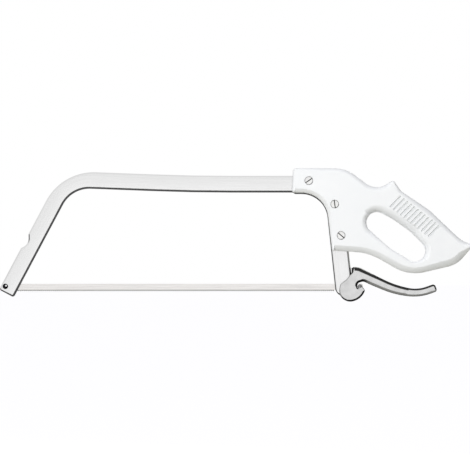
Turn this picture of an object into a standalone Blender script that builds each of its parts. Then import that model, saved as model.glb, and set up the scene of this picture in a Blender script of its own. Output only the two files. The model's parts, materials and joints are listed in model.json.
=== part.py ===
# Butcher's bow saw: bent bar frame, toothed blade, two-piece handle and scroll tension lever.
# Lengths are metres, +X runs from the nose to the handle, +Z is up, the teeth point down.
# The origin is the middle of the hand grip. Points in the saw's own plane are (x, z).
import math

import bmesh
import bpy
from mathutils import Matrix
from mathutils.geometry import tessellate_polygon

# Blade
BLADE_LENGTH = 0.450          # front pin to hook pin
BLADE_DEPTH = 0.0094          # back to tooth tips
BLADE_THICKNESS = 0.0007
BLADE_BACK = 0.0037           # back edge above the line of the two pins
TOOTH_PITCH = 0.0025
TOOTH_DEPTH = 0.0013
TOOTH_LEAN = 0.00155          # tip of a tooth behind its root
TOOTH_SET = 0.00016           # sideways lean of every other tooth tip
NOSE_WALL = 0.0022            # steel round the front pin
TANG_WALL = 0.0023            # steel round the hook pin
TANG_RUN = 0.0140             # plain stretch ahead of the hook pin

# Frame bar
BAR_DEPTH = 0.0206
BAR_THICKNESS = 0.0060
BAR_EDGE = 0.0020             # rounding of the bar's long edges
FRONT_LEAN = math.radians(28.4)
FRONT_LEG_OFFSET = 0.0043     # front pin ahead of the leg's middle line
FRONT_FOOT = 0.0078           # leg end below the front pin, along the leg
FRONT_RISE = 0.1360           # bar's middle line above the pins at the front bend
LEVEL_RISE = 0.1300           # and along the level stretch that runs into the handle
LEVEL_RUN = 0.2120            # start of the level stretch ahead of the hook pin
REAR_BEND_RUN = 0.0349        # rear bend ahead of the hook pin
FOOT_CORNER = 0.0031
FRONT_BEND_INSIDE = 0.0380    # radius of the bar's edges at each bend
FRONT_BEND_OUTSIDE = 0.0689
LEVEL_BEND = 2.6
REAR_BEND_INSIDE = 0.0425
REAR_BEND_OUTSIDE = 0.0420
HOLLOW_RISE = 0.0621          # hollow in the front leg's edge above the pin, along the leg
HOLLOW_SPAN = 0.0200
HOLLOW_SINK = 0.0062          # corner of the hollow, which its radius cuts to half the depth
HOLLOW_RADIUS = 0.0120
HOLLOW_LIP = 0.0040
SLIT_ROOM = 0.0015            # free slit above the blade's back

# Handle
HANDLE_THICKNESS = 0.0280
HANDLE_REVEAL = 0.0010        # bar edge left showing in front of the handle
HANDLE_COVER = 0.0093         # handle above the bar
HANDLE_LEAD = 0.0500          # front of the handle ahead of the rear bend
HANDLE_FRONT_LEAN = 0.0017    # lower front corner ahead of the upper one
BEND_FROM_GRIP = (-0.0979, 0.0385)  # rear bend of the bar from the middle of the grip
GROOVE_COUNT = 12
GROOVE_PITCH = 0.00555
GROOVE_LENGTH = 0.0205
GROOVE_WIDTH = 0.0022
GROOVE_DEPTH = 0.0010
GROOVE_START = (-0.0190, 0.0156)
GROOVE_ROW = math.radians(-37.4)    # slope of the row
GROOVE_TILT = math.radians(45)      # slope of each groove
PEG_RADIUS = 0.0030
PEG_LENGTH = 0.0050
PEG_SPOTS = [(0.0490, -0.0465), (-0.0570, 0.0205)]

# Handle corners from the middle of the grip: (x, z, corner radius, edge rounding)
CROWN = (-0.0820, 0.0300, 0.0050)   # rear end of the level top: x, corner radius, edge rounding
GRIP_OUTLINE = [
    (-0.0432, 0.0295, 0.0230, 0.0060),   # throat for the web of the thumb
    (-0.0213, 0.0429, 0.0028, 0.0024),   # spur
    (-0.0115, 0.0290, 0.0080, 0.0046),
    (0.0238, 0.0056, 0.0600, 0.0072),    # back of the grip
    (0.0640, -0.0326, 0.0400, 0.0060),
    (0.0796, -0.0395, 0.0030, 0.0026),   # tail
    (0.0598, -0.0638, 0.0350, 0.0072),
    (-0.0012, -0.0779, 0.0500, 0.0072),  # finger bow
    (-0.0512, -0.0494, 0.0700, 0.0068),
]
FINGER_HOLE = [
    (-0.0597, -0.0117, 0.0132, 0.0072),
    (-0.0443, 0.0076, 0.0132, 0.0072),
    (0.0003, -0.0217, 0.0600, 0.0072),
    (0.0246, -0.0456, 0.0132, 0.0072),
    (0.0097, -0.0645, 0.0132, 0.0048),
    (-0.0275, -0.0422, 0.1000, 0.0048),
]
HANDLE_FOOT = -0.0460               # handle's lower edge on the leg
FOOT_SPREAD = 0.0060                # over which its rounding grows from the corner on the leg
LEG_CORNER = (0.0022, 0.0018)       # handle's corner on the leg: corner radius, edge rounding
FRONT_CORNER = (0.0030, 0.0026)
BEND_ROUNDING = 0.0030              # edge rounding along the inside of the rear bend

# Screws and sleeve nuts: name, run along the bar from the rear bend, step to its outer edge, slot angle
SCREW_PLACES = [
    ("front", -0.0306, 0.0039, 35),
    ("middle", 0.0259, -0.0007, 98),
    ("lower", 0.0661, 0.0031, -40),
]
HEAD_RADIUS = 0.0052
HEAD_HEIGHT = 0.0032
HEAD_CHAMFER = 0.0005
SHANK_RADIUS = 0.0025
SHANK_ROOM = 0.0015           # thickness of the sleeve nut's closed end
BARREL_RADIUS = 0.0036
SLOT_WIDTH = 0.0012
SLOT_DEPTH = 0.0012
NUT_SLOT_TURN = 55            # slot of a nut against the slot of its screw, in degrees

# Lever, closed, measured from its pivot
LEVER_ARM = (0.0205, 0.0025)  # hook pin
LEVER_SWING = math.radians(60)
LEVER_CHEEK = 0.0030          # each side of the fork
LEVER_TAPER = 0.28            # share of its thickness that the arm loses towards the tip
TAPER_START = 0.0300
TAPER_END = 0.1180
LOBE = (0.0072, -0.0039)      # middle of the round end
LOBE_RADIUS = 0.01245
SCROLL_RADIUS = 0.0250        # wider turn from the round end to the lip
LOBE_ANGLES = (168, 285, 331)  # start of the round end, start and end of the wider turn, in degrees
LIP = (0.0056, -0.0044)       # lip and foot of the eye, from the hook pin
EYE_FOOT = (-0.0041, -0.0040)
EYE_WALL = 0.0013
EYE_DROP = 0.0005             # middle of the eye below the hook pin
EYE_ANGLES = (-5, 208)
LIP_CORNER = 0.0007
EYE_CORNER = 0.0009
LEVER_EDGE = 0.0022           # edge rounding of the round end and the eye
SHARP_EDGE = 0.0008

# Lever corners from its pivot: (x, z, corner radius, edge rounding)
LEVER_HEEL = [
    (0.0108, 0.0262, 0.0020, 0.0018),
    (0.0107, 0.0207, 0.0015, 0.0008),
    (0.0034, 0.0114, 0.0100, 0.0008),
    (-0.0046, 0.0054, 0.0060, 0.0008),
]
LEVER_TAIL = [
    (0.0152, 0.0084, 0.0050, 0.0012),    # crook above the eye
    (0.0226, 0.0096, 0.0030, 0.0016),
    (0.0850, -0.0164, 0.0750, 0.0030),   # underside of the arm
    (0.1190, -0.0024, 0.0032, 0.0024),   # tip
    (0.1152, 0.0054, 0.0032, 0.0024),
    (0.0818, -0.0060, 0.0540, 0.0030),   # top of the arm
    (0.0176, 0.0265, 0.0060, 0.0030),
]
STOP_HEIGHTS = (0.0196, 0.0256)      # pad between heel and leg
STOP_ROOT = 0.0140

# Pins and rivets
HOOK_PIN_RADIUS = 0.0015
HOOK_PIN_CHAMFER = 0.0003
HOOK_PIN_RECESS = 0.0003      # pin ends below the lever's sides
RIVET_RADIUS = 0.0026
RIVET_HEAD = 0.0036
RIVET_HEAD_HEIGHT = 0.0012
FRONT_PIN_RADIUS = 0.0018
FRONT_HEAD_RADIUS = 0.00345
FRONT_HEAD_HEIGHT = 0.0014

# Clearances
SEAT_GAP = 0.0003             # between pieces that lie on each other
FIT_GAP = 0.0002              # round a pin or a shank
FORK_GAP = 0.0004             # lever cheek to bar, lever web to blade
SLIT_GAP = 0.0003             # blade side to slit wall
CUT_OVER = 0.0020             # a cutting tool past the face that it leaves

# Derived places
HOOK_PIN = (BEND_FROM_GRIP[0] + REAR_BEND_RUN, BEND_FROM_GRIP[1] - LEVEL_RISE)
FRONT_PIN = (HOOK_PIN[0] - BLADE_LENGTH, HOOK_PIN[1])
PIVOT = (HOOK_PIN[0] - LEVER_ARM[0], HOOK_PIN[1] - LEVER_ARM[1])
HALF_BAR = BAR_THICKNESS / 2
HALF_DEPTH = BAR_DEPTH / 2
HALF_HANDLE = HANDLE_THICKNESS / 2
SLIT = BLADE_THICKNESS + 2 * SLIT_GAP
FORK_HALF = HALF_BAR + FORK_GAP
LEVER_HALF = FORK_HALF + LEVER_CHEEK
FRONT_UP = (math.sin(FRONT_LEAN), math.cos(FRONT_LEAN))
TANG_RADIUS = HOOK_PIN_RADIUS + TANG_WALL


def clear_scene():
    for item in list(bpy.data.objects):
        bpy.data.objects.remove(item, do_unlink=True)


def link(mesh, name):
    item = bpy.data.objects.new(name, mesh)
    bpy.context.scene.collection.objects.link(item)
    return item


def finish(bm, name, smooth_angle=35):
    bmesh.ops.remove_doubles(bm, verts=bm.verts, dist=2e-6)
    bmesh.ops.dissolve_degenerate(bm, edges=bm.edges, dist=1e-6)
    bmesh.ops.recalc_face_normals(bm, faces=bm.faces)
    mesh = bpy.data.meshes.new(name)
    bm.to_mesh(mesh)
    bm.free()
    for face in mesh.polygons:
        face.use_smooth = True
    mesh.set_sharp_from_angle(angle=math.radians(smooth_angle))
    return link(mesh, name)


def paint(item, label, colour, roughness, metallic):
    material = bpy.data.materials.new(label)
    material.use_nodes = True
    shader = material.node_tree.nodes["Principled BSDF"]
    shader.inputs["Base Color"].default_value = (*colour, 1.0)
    shader.inputs["Roughness"].default_value = roughness
    shader.inputs["Metallic"].default_value = metallic
    material.diffuse_color = (*colour, 1.0)
    item.data.materials.append(material)


def empty(name, x, z):
    item = bpy.data.objects.new(name, None)
    item.location = (x, 0, z)
    bpy.context.scene.collection.objects.link(item)
    return item


def hang(item, parent, x=0.0, z=0.0):
    item.parent = parent
    item.location = (x, 0, z)


def cut(item, tool, operation="DIFFERENCE"):
    tool.hide_render = True
    tool.display_type = "WIRE"
    tool.parent = item
    step = item.modifiers.new(tool.name, "BOOLEAN")
    step.operation = operation
    step.solver = "EXACT"
    step.object = tool


def turned(vector, angle):
    c, s = math.cos(angle), math.sin(angle)
    return (vector[0] * c - vector[1] * s, vector[0] * s + vector[1] * c)


def moved(point, direction, distance):
    return (point[0] + direction[0] * distance, point[1] + direction[1] * distance)


def arc(centre, radius, start, end, steps, edges=(0.0, 0.0)):
    # Corners without fillet along a circle, angles in degrees, edge rounding from one end to the other.
    for k in range(steps + 1):
        share = k / steps
        a = math.radians(start + (end - start) * share)
        edge = edges[0] + (edges[1] - edges[0]) * share
        yield (centre[0] + radius * math.cos(a), centre[1] + radius * math.sin(a), 0.0, edge)


def rounded(corners, turn):
    # Closed outline from corners (x, z, corner radius, edge rounding), one point each `turn` degrees.
    count = len(corners)
    loop = []
    for i, (x, z, radius, edge) in enumerate(corners):
        before = corners[i - 1]
        after = corners[(i + 1) % count]
        u = (before[0] - x, before[1] - z)
        v = (after[0] - x, after[1] - z)
        u_len, v_len = math.hypot(*u), math.hypot(*v)
        u = (u[0] / u_len, u[1] / u_len)
        v = (v[0] / v_len, v[1] / v_len)
        half = math.acos(max(-1.0, min(1.0, u[0] * v[0] + u[1] * v[1]))) / 2
        if radius <= 0 or half > math.radians(89.9):
            loop.append((x, z, edge))
            continue
        reach = min(radius / math.tan(half), 0.98 * u_len, 0.98 * v_len)
        radius = reach * math.tan(half)
        mid = (u[0] + v[0], u[1] + v[1])
        far = radius / math.sin(half) / math.hypot(*mid)
        centre = (x + mid[0] * far, z + mid[1] * far)
        a0 = math.atan2(z + u[1] * reach - centre[1], x + u[0] * reach - centre[0])
        a1 = math.atan2(z + v[1] * reach - centre[1], x + v[0] * reach - centre[0])
        sweep = (a1 - a0 + math.pi) % (2 * math.pi) - math.pi
        steps = max(2, round(abs(math.degrees(sweep)) / turn))
        for k in range(steps + 1):
            a = a0 + sweep * k / steps
            loop.append((centre[0] + radius * math.cos(a), centre[1] + radius * math.sin(a), edge))
    return loop


def plain(entries):
    # Outline points of corner entries that have no fillet and a sharp edge.
    return [(entry[0], entry[1], 0.0) for entry in entries]


def circle(centre, radius, steps=24):
    return plain(arc(centre, radius, 0, 360 - 360 / steps, steps - 1))


def wound(loop, inward):
    # Outer loops run so that the material lies on the left, hole loops the other way.
    area = sum(a[0] * b[1] - b[0] * a[1] for a, b in zip(loop, loop[1:] + loop[:1]))
    return loop if (area > 0) == inward else loop[::-1]


def inset_directions(loop):
    count = len(loop)
    result = []
    for i, point in enumerate(loop):
        before, after = loop[i - 1], loop[(i + 1) % count]
        u = (point[0] - before[0], point[1] - before[1])
        v = (after[0] - point[0], after[1] - point[1])
        u_len = math.hypot(*u) or 1.0
        v_len = math.hypot(*v) or 1.0
        n1 = (-u[1] / u_len, u[0] / u_len)
        n2 = (-v[1] / v_len, v[0] / v_len)
        mid = (n1[0] + n2[0], n1[1] + n2[1])
        scale = 2 / max(mid[0] ** 2 + mid[1] ** 2, 0.8)
        result.append((mid[0] * scale, mid[1] * scale))
    return result


def plate(name, loops, low, high, round_low=True, round_high=True, segments=3):
    # Flat piece between two planes across Y whose edges turn over in quarter rounds.
    loops = [wound(loop, k == 0) for k, loop in enumerate(loops)]
    profile = []
    for k in range(segments + 1 if round_low else 1):
        angle = math.pi / 2 * (k / segments if round_low else 1)
        drop = 1 - math.cos(angle) if round_low else 0.0
        profile.append((1 - math.sin(angle), low, drop))
    for k in range(segments + 1 if round_high else 1):
        angle = math.pi / 2 * (1 - k / segments if round_high else 1)
        drop = 1 - math.cos(angle) if round_high else 0.0
        profile.append((1 - math.sin(angle), high, -drop))
    bm = bmesh.new()
    first, last = [], []
    for loop in loops:
        directions = inset_directions(loop)
        rings = []
        for inset, level, rise in profile:
            ring = []
            for (x, z, edge), (nx, nz) in zip(loop, directions):
                spot = (x + nx * edge * inset, level + edge * rise, z + nz * edge * inset)
                ring.append(bm.verts.new(spot))
            rings.append(ring)
        count = len(loop)
        for lower, upper in zip(rings, rings[1:]):
            for i in range(count):
                j = (i + 1) % count
                bm.faces.new((lower[i], lower[j], upper[j], upper[i]))
        first.append(rings[0])
        last.append(rings[-1])
    for ends in (first, last):
        flat = [vert for ring in ends for vert in ring]
        for tri in tessellate_polygon([[vert.co for vert in ring] for ring in ends]):
            bm.faces.new([flat[k] for k in tri])
    return finish(bm, name)


def lathe(name, profile, steps=24):
    # Round piece about the Y axis from (radius, y) points, both ends on the axis.
    bm = bmesh.new()
    chain = [bm.verts.new((radius, y, 0.0)) for radius, y in profile]
    edges = [bm.edges.new(pair) for pair in zip(chain, chain[1:])]
    bmesh.ops.spin(bm, geom=chain + edges, cent=(0, 0, 0), axis=(0, 1, 0),
                   angle=2 * math.pi, steps=steps, use_merge=True)
    return finish(bm, name, 30)


def block(name, sizes, centre, angle=0.0):
    # Box turned about Y, positive angles lift its +X end.
    bm = bmesh.new()
    place = Matrix.Translation(centre) @ Matrix.Rotation(-angle, 4, "Y")
    bmesh.ops.create_cube(bm, size=1.0, matrix=place @ Matrix.Diagonal((*sizes, 1.0)))
    return finish(bm, name)


def rod(name, radius, low, high, spot, steps=28):
    return plate(name, [circle(spot, radius, steps)], low, high, False, False)


def side_line(points, distance):
    # Path moved sideways to its left, its corners kept sharp.
    result = []
    for i, point in enumerate(points):
        spans = []
        for a, b in ((i - 1, i), (i, i + 1)):
            if 0 <= a and b < len(points):
                dx, dz = points[b][0] - points[a][0], points[b][1] - points[a][1]
                size = math.hypot(dx, dz)
                spans.append((-dz / size, dx / size))
        mid = (sum(n[0] for n in spans), sum(n[1] for n in spans))
        result.append(moved(point, mid, len(spans) * distance / (mid[0] ** 2 + mid[1] ** 2)))
    return result


# Middle line of the bar: foot, front bend, start of the level stretch, rear bend, lever pivot
leg_base = moved(FRONT_PIN, (FRONT_UP[1], -FRONT_UP[0]), FRONT_LEG_OFFSET)
rear_bend = (HOOK_PIN[0] - REAR_BEND_RUN, HOOK_PIN[1] + LEVEL_RISE)
spine = [
    moved(leg_base, FRONT_UP, -FRONT_FOOT),
    moved(leg_base, FRONT_UP, (FRONT_RISE + HOOK_PIN[1] - leg_base[1]) / FRONT_UP[1]),
    (HOOK_PIN[0] - LEVEL_RUN, rear_bend[1]),
    rear_bend,
    PIVOT,
]
rear_size = math.hypot(PIVOT[0] - rear_bend[0], PIVOT[1] - rear_bend[1])
rear_down = ((PIVOT[0] - rear_bend[0]) / rear_size, (PIVOT[1] - rear_bend[1]) / rear_size)
rear_lean = math.atan2(rear_down[0], -rear_down[1])


def on_bar(run, step):
    # Place at a distance along the bar from the rear bend, ahead of it below zero, and towards its outer edge.
    if run < 0:
        return (rear_bend[0] + run, rear_bend[1] + step)
    return moved(moved(rear_bend, rear_down, run), (-rear_down[1], rear_down[0]), step)


screws = [(name, on_bar(run, step), angle) for name, run, step, angle in SCREW_PLACES]


def front_leg_edge(z):
    # X of the front leg's rear edge at a height, both from the front pin.
    return (HALF_DEPTH + FRONT_LEG_OFFSET) / FRONT_UP[1] + z * math.tan(FRONT_LEAN)


def rear_leg_edge(z):
    # X of the rear leg's front edge at a height, both from the front pin.
    edge = side_line(spine, -HALF_DEPTH)[4]
    return edge[0] + (FRONT_PIN[1] + z - edge[1]) * rear_down[0] / rear_down[1] - FRONT_PIN[0]


def bar_outline(grow, edge, hollow=True):
    half = HALF_DEPTH + grow
    inner = side_line(spine, -half)
    outer = side_line(spine, half)
    foot_round = half * 0.999
    corners = [
        (*inner[0], FOOT_CORNER, edge),
        (*inner[1], FRONT_BEND_INSIDE - grow, edge),
        (*inner[2], LEVEL_BEND, edge),
        (*inner[3], REAR_BEND_INSIDE - grow, edge),
        (*moved(inner[4], rear_down, half), foot_round, edge),
        (*moved(outer[4], rear_down, half), foot_round, edge),
        (*outer[3], REAR_BEND_OUTSIDE + grow, edge),
        (*outer[2], LEVEL_BEND, edge),
        (*outer[1], FRONT_BEND_OUTSIDE + grow, edge),
    ]
    if hollow:
        start = moved(outer[0], FRONT_UP, FRONT_FOOT)
        deepest = HOLLOW_RISE - HOLLOW_LIP / 3
        for along, sink, radius in ((HOLLOW_RISE + HOLLOW_SPAN / 2, 0.0, HOLLOW_LIP),
                                    (deepest, HOLLOW_SINK, HOLLOW_RADIUS),
                                    (HOLLOW_RISE - HOLLOW_SPAN / 2, 0.0, HOLLOW_LIP)):
            spot = moved(moved(start, FRONT_UP, along), (FRONT_UP[1], -FRONT_UP[0]), sink)
            corners.append((*spot, radius, edge))
    corners.append((*outer[0], FOOT_CORNER, edge))
    return rounded(corners, 11)


def build_frame(root):
    loops = [bar_outline(0.0, BAR_EDGE)]
    loops.append(circle(FRONT_PIN, FRONT_PIN_RADIUS + FIT_GAP, 20))
    loops.append(circle(PIVOT, RIVET_RADIUS + FIT_GAP, 20))
    loops += [circle(spot, SHANK_RADIUS + FIT_GAP, 20) for _, spot, _ in screws]
    frame = plate("bow_frame", loops, -HALF_BAR, HALF_BAR)
    # Each leg is slit from its foot to above the blade's back.
    top = BLADE_BACK + SLIT_ROOM
    across = 2 * BAR_DEPTH
    front_depth = FRONT_FOOT + front_leg_edge(top) * FRONT_UP[0] + top * FRONT_UP[1] + CUT_OVER
    spot = moved(spine[0], FRONT_UP, front_depth / 2 - CUT_OVER)
    cut(frame, block("front_slit", (across, SLIT, front_depth), (spot[0], 0, spot[1]), -FRONT_LEAN))
    rear_depth = top + LEVER_ARM[1] + HALF_DEPTH + CUT_OVER
    middle = HOOK_PIN[1] + top - rear_depth / 2
    cut(frame, block("rear_slit", (across, SLIT, rear_depth), (PIVOT[0], 0, middle)))
    paint(frame, "satin_stainless_bar", (0.80, 0.80, 0.80), 0.32, 1.0)
    hang(frame, root)


def handle_outline():
    # The front follows the bar's inner edge, which stays in view, and the top lies above its outer edge.
    inner = side_line(spine, HANDLE_REVEAL - HALF_DEPTH)
    top = rear_bend[1] + HALF_DEPTH + HANDLE_COVER
    front = rear_bend[0] - HANDLE_LEAD
    leg = moved(inner[3], rear_down, (HANDLE_FOOT - inner[3][1]) / rear_down[1])
    corners = [(front, top, *FRONT_CORNER), (CROWN[0], top, *CROWN[1:]), *GRIP_OUTLINE]
    corners += [
        (leg[0] + FOOT_SPREAD, HANDLE_FOOT, 0.0, GRIP_OUTLINE[-1][3]),
        (*leg, *LEG_CORNER),
        (*inner[3], REAR_BEND_INSIDE + HANDLE_REVEAL, BEND_ROUNDING),
        (front - HANDLE_FRONT_LEAN, inner[2][1], *FRONT_CORNER),
    ]
    return rounded(corners, 12)


def finger_hole():
    return rounded(FINGER_HOLE, 14)


def groove_tools(name, side):
    # Half-round bars that cut the finger grooves into one cheek of the grip.
    radius = (GROOVE_WIDTH ** 2 / 4 + GROOVE_DEPTH ** 2) / (2 * GROOVE_DEPTH)
    y = side * (HALF_HANDLE + radius - GROOVE_DEPTH)
    bm = bmesh.new()
    for k in range(GROOVE_COUNT):
        x, z = moved(GROOVE_START, turned((1, 0), GROOVE_ROW), k * GROOVE_PITCH)
        place = Matrix.Translation((x, y, z)) @ Matrix.Rotation(GROOVE_TILT, 4, "Y")
        bmesh.ops.create_cone(bm, cap_ends=True, segments=12, radius1=radius, radius2=radius,
                              depth=GROOVE_LENGTH, matrix=place)
    return finish(bm, name)


def screw_tool(name, side, bore, spot):
    # Stepped cutter for one screw hole of a handle half: the bore and the seat of the head.
    floor = HALF_HANDLE - HEAD_HEIGHT - SEAT_GAP
    end = HALF_HANDLE + CUT_OVER
    seat = HEAD_RADIUS + FIT_GAP
    profile = [(0, -CUT_OVER), (bore, -CUT_OVER), (bore, floor), (seat, floor), (seat, end), (0, end)]
    tool = lathe(name, [(radius, side * y) for radius, y in profile])
    tool.location = (spot[0], 0, spot[1])
    return tool


def build_handle(root):
    for side, name, hole in ((-1, "left", SHANK_RADIUS), (1, "right", BARREL_RADIUS)):
        seam = side * SEAT_GAP / 2
        low, high = sorted((seam, side * HALF_HANDLE))
        loops = [handle_outline(), finger_hole()]
        scale = plate(f"{name}_handle_scale", loops, low, high, side < 0, side > 0)
        bed = plate(f"{name}_bar_bed", [bar_outline(SEAT_GAP, 0.0, False)],
                    -HALF_BAR - SEAT_GAP, HALF_BAR + SEAT_GAP, False, False)
        cut(scale, bed)
        for label, spot, _ in screws:
            cut(scale, screw_tool(f"{name}_{label}_hole", side, hole + FIT_GAP, spot))
        cut(scale, groove_tools(f"{name}_grooves", side))
        for k, spot in enumerate(PEG_SPOTS):
            if side < 0:
                cut(scale, rod(f"peg_{k}", PEG_RADIUS, seam - CUT_OVER, PEG_LENGTH, spot, 16), "UNION")
            else:
                depth = PEG_LENGTH + 2 * FIT_GAP
                cut(scale, rod(f"socket_{k}", PEG_RADIUS + FIT_GAP, -CUT_OVER, depth, spot, 16))
        paint(scale, f"{name}_white_polypropylene", (0.90, 0.92, 0.94), 0.38, 0.0)
        hang(scale, root)


def slotted(item, angle, face, side):
    low, high = sorted((face - side * SLOT_DEPTH, face + side * CUT_OVER))
    sizes = (4 * HEAD_RADIUS, high - low, SLOT_WIDTH)
    cut(item, block(f"{item.name}_slot", sizes, (0, (low + high) / 2, 0), math.radians(angle)))


def build_screws(root):
    rim = HEAD_RADIUS - HEAD_CHAMFER
    under = HALF_HANDLE - HEAD_HEIGHT
    barrel_end = HALF_BAR + 2 * SEAT_GAP
    shank_end = under - SHANK_ROOM
    bore = SHANK_RADIUS + FIT_GAP
    for label, spot, angle in screws:
        screw = lathe(f"{label}_handle_screw", [
            (0, -HALF_HANDLE), (rim, -HALF_HANDLE), (HEAD_RADIUS, HEAD_CHAMFER - HALF_HANDLE),
            (HEAD_RADIUS, -under), (SHANK_RADIUS, -under), (SHANK_RADIUS, shank_end), (0, shank_end)])
        slotted(screw, angle, -HALF_HANDLE, -1)
        paint(screw, f"{label}_nickel_screw", (0.66, 0.66, 0.63), 0.34, 1.0)
        hang(screw, root, *spot)
        nut = lathe(f"{label}_sleeve_nut", [
            (0, HALF_HANDLE), (rim, HALF_HANDLE), (HEAD_RADIUS, HALF_HANDLE - HEAD_CHAMFER),
            (HEAD_RADIUS, under), (BARREL_RADIUS, under), (BARREL_RADIUS, barrel_end),
            (bore, barrel_end), (bore, shank_end + FIT_GAP), (0, shank_end + FIT_GAP)])
        slotted(nut, angle + NUT_SLOT_TURN, HALF_HANDLE, 1)
        paint(nut, f"{label}_nickel_nut", (0.66, 0.66, 0.63), 0.34, 1.0)
        hang(nut, root, *spot)


def build_front_pin(root):
    face = HALF_BAR + SEAT_GAP
    dome = []
    for degrees in range(0, 91, 15):
        a = math.radians(degrees)
        dome.append((FRONT_HEAD_RADIUS * math.sin(a), -face - FRONT_HEAD_HEIGHT * math.cos(a)))
    shank = [(FRONT_PIN_RADIUS, -face), (FRONT_PIN_RADIUS, HALF_BAR), (0, HALF_BAR)]
    pin = lathe("front_blade_pin", dome + shank)
    paint(pin, "polished_steel_pin", (0.55, 0.55, 0.55), 0.18, 1.0)
    hang(pin, root, *FRONT_PIN)


def pin_place(angle):
    # Hook pin from the front pin, the lever opened by an angle.
    x, z = turned(LEVER_ARM, -angle)
    return (PIVOT[0] + x - FRONT_PIN[0], PIVOT[1] + z - FRONT_PIN[1])


def pin_drop(angle):
    # Turn that would bring the blade's own line onto the hook pin.
    x, z = pin_place(angle)
    return math.atan2(-z, x)


# Turn of the blade for each turn of the lever: off by as much half way as at the end, to opposite sides
blade_share = (pin_drop(LEVER_SWING / 2) + pin_drop(LEVER_SWING)) / (1.5 * LEVER_SWING)


def hook_slot():
    # Oblong hole round the pin's path in the blade, so that the pin slides forward as the blade slackens.
    steps = 12
    path = []
    for k in range(steps + 1):
        angle = LEVER_SWING * k / steps
        path.append(turned(pin_place(angle), angle * blade_share))
    room = HOOK_PIN_RADIUS + FIT_GAP
    top = max(z for _, z in path) + room
    low = min(z for _, z in path) - room
    right = max(x for x, _ in path) + room
    left = min(x for x, _ in path) - room
    radius = 0.45 * (top - low)
    corners = [(x, z, radius, 0.0) for x, z in ((left, low), (right, low), (right, top), (left, top))]
    return rounded(corners, 22)


def build_blade(axis):
    tip = BLADE_BACK - BLADE_DEPTH
    gullet = tip + TOOTH_DEPTH
    nose = FRONT_PIN_RADIUS + NOSE_WALL
    tang = BLADE_LENGTH - TANG_RUN
    start = front_leg_edge(tip)
    count = int((rear_leg_edge(tip) - start) / TOOTH_PITCH)
    loop = plain([(tang, BLADE_BACK), (0.0, BLADE_BACK)])
    loop += plain(arc((0, 0), nose, 110, 230, 8))
    loop += plain([(start - TOOTH_PITCH, gullet)])
    for k in range(count):
        root = start + k * TOOTH_PITCH
        loop += plain([(root, gullet), (root + TOOTH_LEAN, tip)])
    loop += plain([(start + count * TOOTH_PITCH, gullet), (tang, gullet)])
    loop += plain(arc((BLADE_LENGTH, 0), TANG_RADIUS, -90, 90, 10))
    loops = [loop, circle((0, 0), FRONT_PIN_RADIUS + FIT_GAP, 20), hook_slot()]
    blade = plate("saw_blade", loops, -BLADE_THICKNESS / 2, BLADE_THICKNESS / 2, False, False)
    for vert in blade.data.vertices:
        if vert.co.z < gullet - TOOTH_DEPTH / 2:
            number = int((vert.co.x - start) / TOOTH_PITCH)
            vert.co.y += TOOTH_SET * (1 if number % 2 else -1)
    paint(blade, "bright_blade_steel", (0.79, 0.77, 0.75), 0.30, 1.0)
    hang(blade, axis)


def lever_outline():
    wide_start = math.radians(LOBE_ANGLES[1])
    wide = moved(LOBE, (math.cos(wide_start), math.sin(wide_start)), LOBE_RADIUS - SCROLL_RADIUS)
    eye = (LEVER_ARM[0], LEVER_ARM[1] - EYE_DROP)
    lip = (LEVER_ARM[0] + LIP[0], LEVER_ARM[1] + LIP[1])
    eye_foot = (LEVER_ARM[0] + EYE_FOOT[0], LEVER_ARM[1] + EYE_FOOT[1])
    corners = list(LEVER_HEEL)
    corners += arc(LOBE, LOBE_RADIUS, LOBE_ANGLES[0], LOBE_ANGLES[1], 10, (SHARP_EDGE, LEVER_EDGE))
    turn = arc(wide, SCROLL_RADIUS, LOBE_ANGLES[1], LOBE_ANGLES[2], 5, (LEVER_EDGE, LEVER_EDGE))
    corners += list(turn)[1:]
    corners.append((*lip, LIP_CORNER, LIP_CORNER))
    corners += arc(eye, HOOK_PIN_RADIUS + EYE_WALL, *EYE_ANGLES, 12, (LEVER_EDGE, LEVER_EDGE))
    corners.append((*eye_foot, EYE_CORNER, SHARP_EDGE))
    corners += LEVER_TAIL
    return rounded(corners, 12)


def tang_in_lever():
    # Middle of the blade's round end in the lever's own axes, the lever fully open.
    x, z = turned((BLADE_LENGTH, 0), -LEVER_SWING * blade_share)
    return turned((FRONT_PIN[0] + x - PIVOT[0], FRONT_PIN[1] + z - PIVOT[1]), LEVER_SWING)


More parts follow.
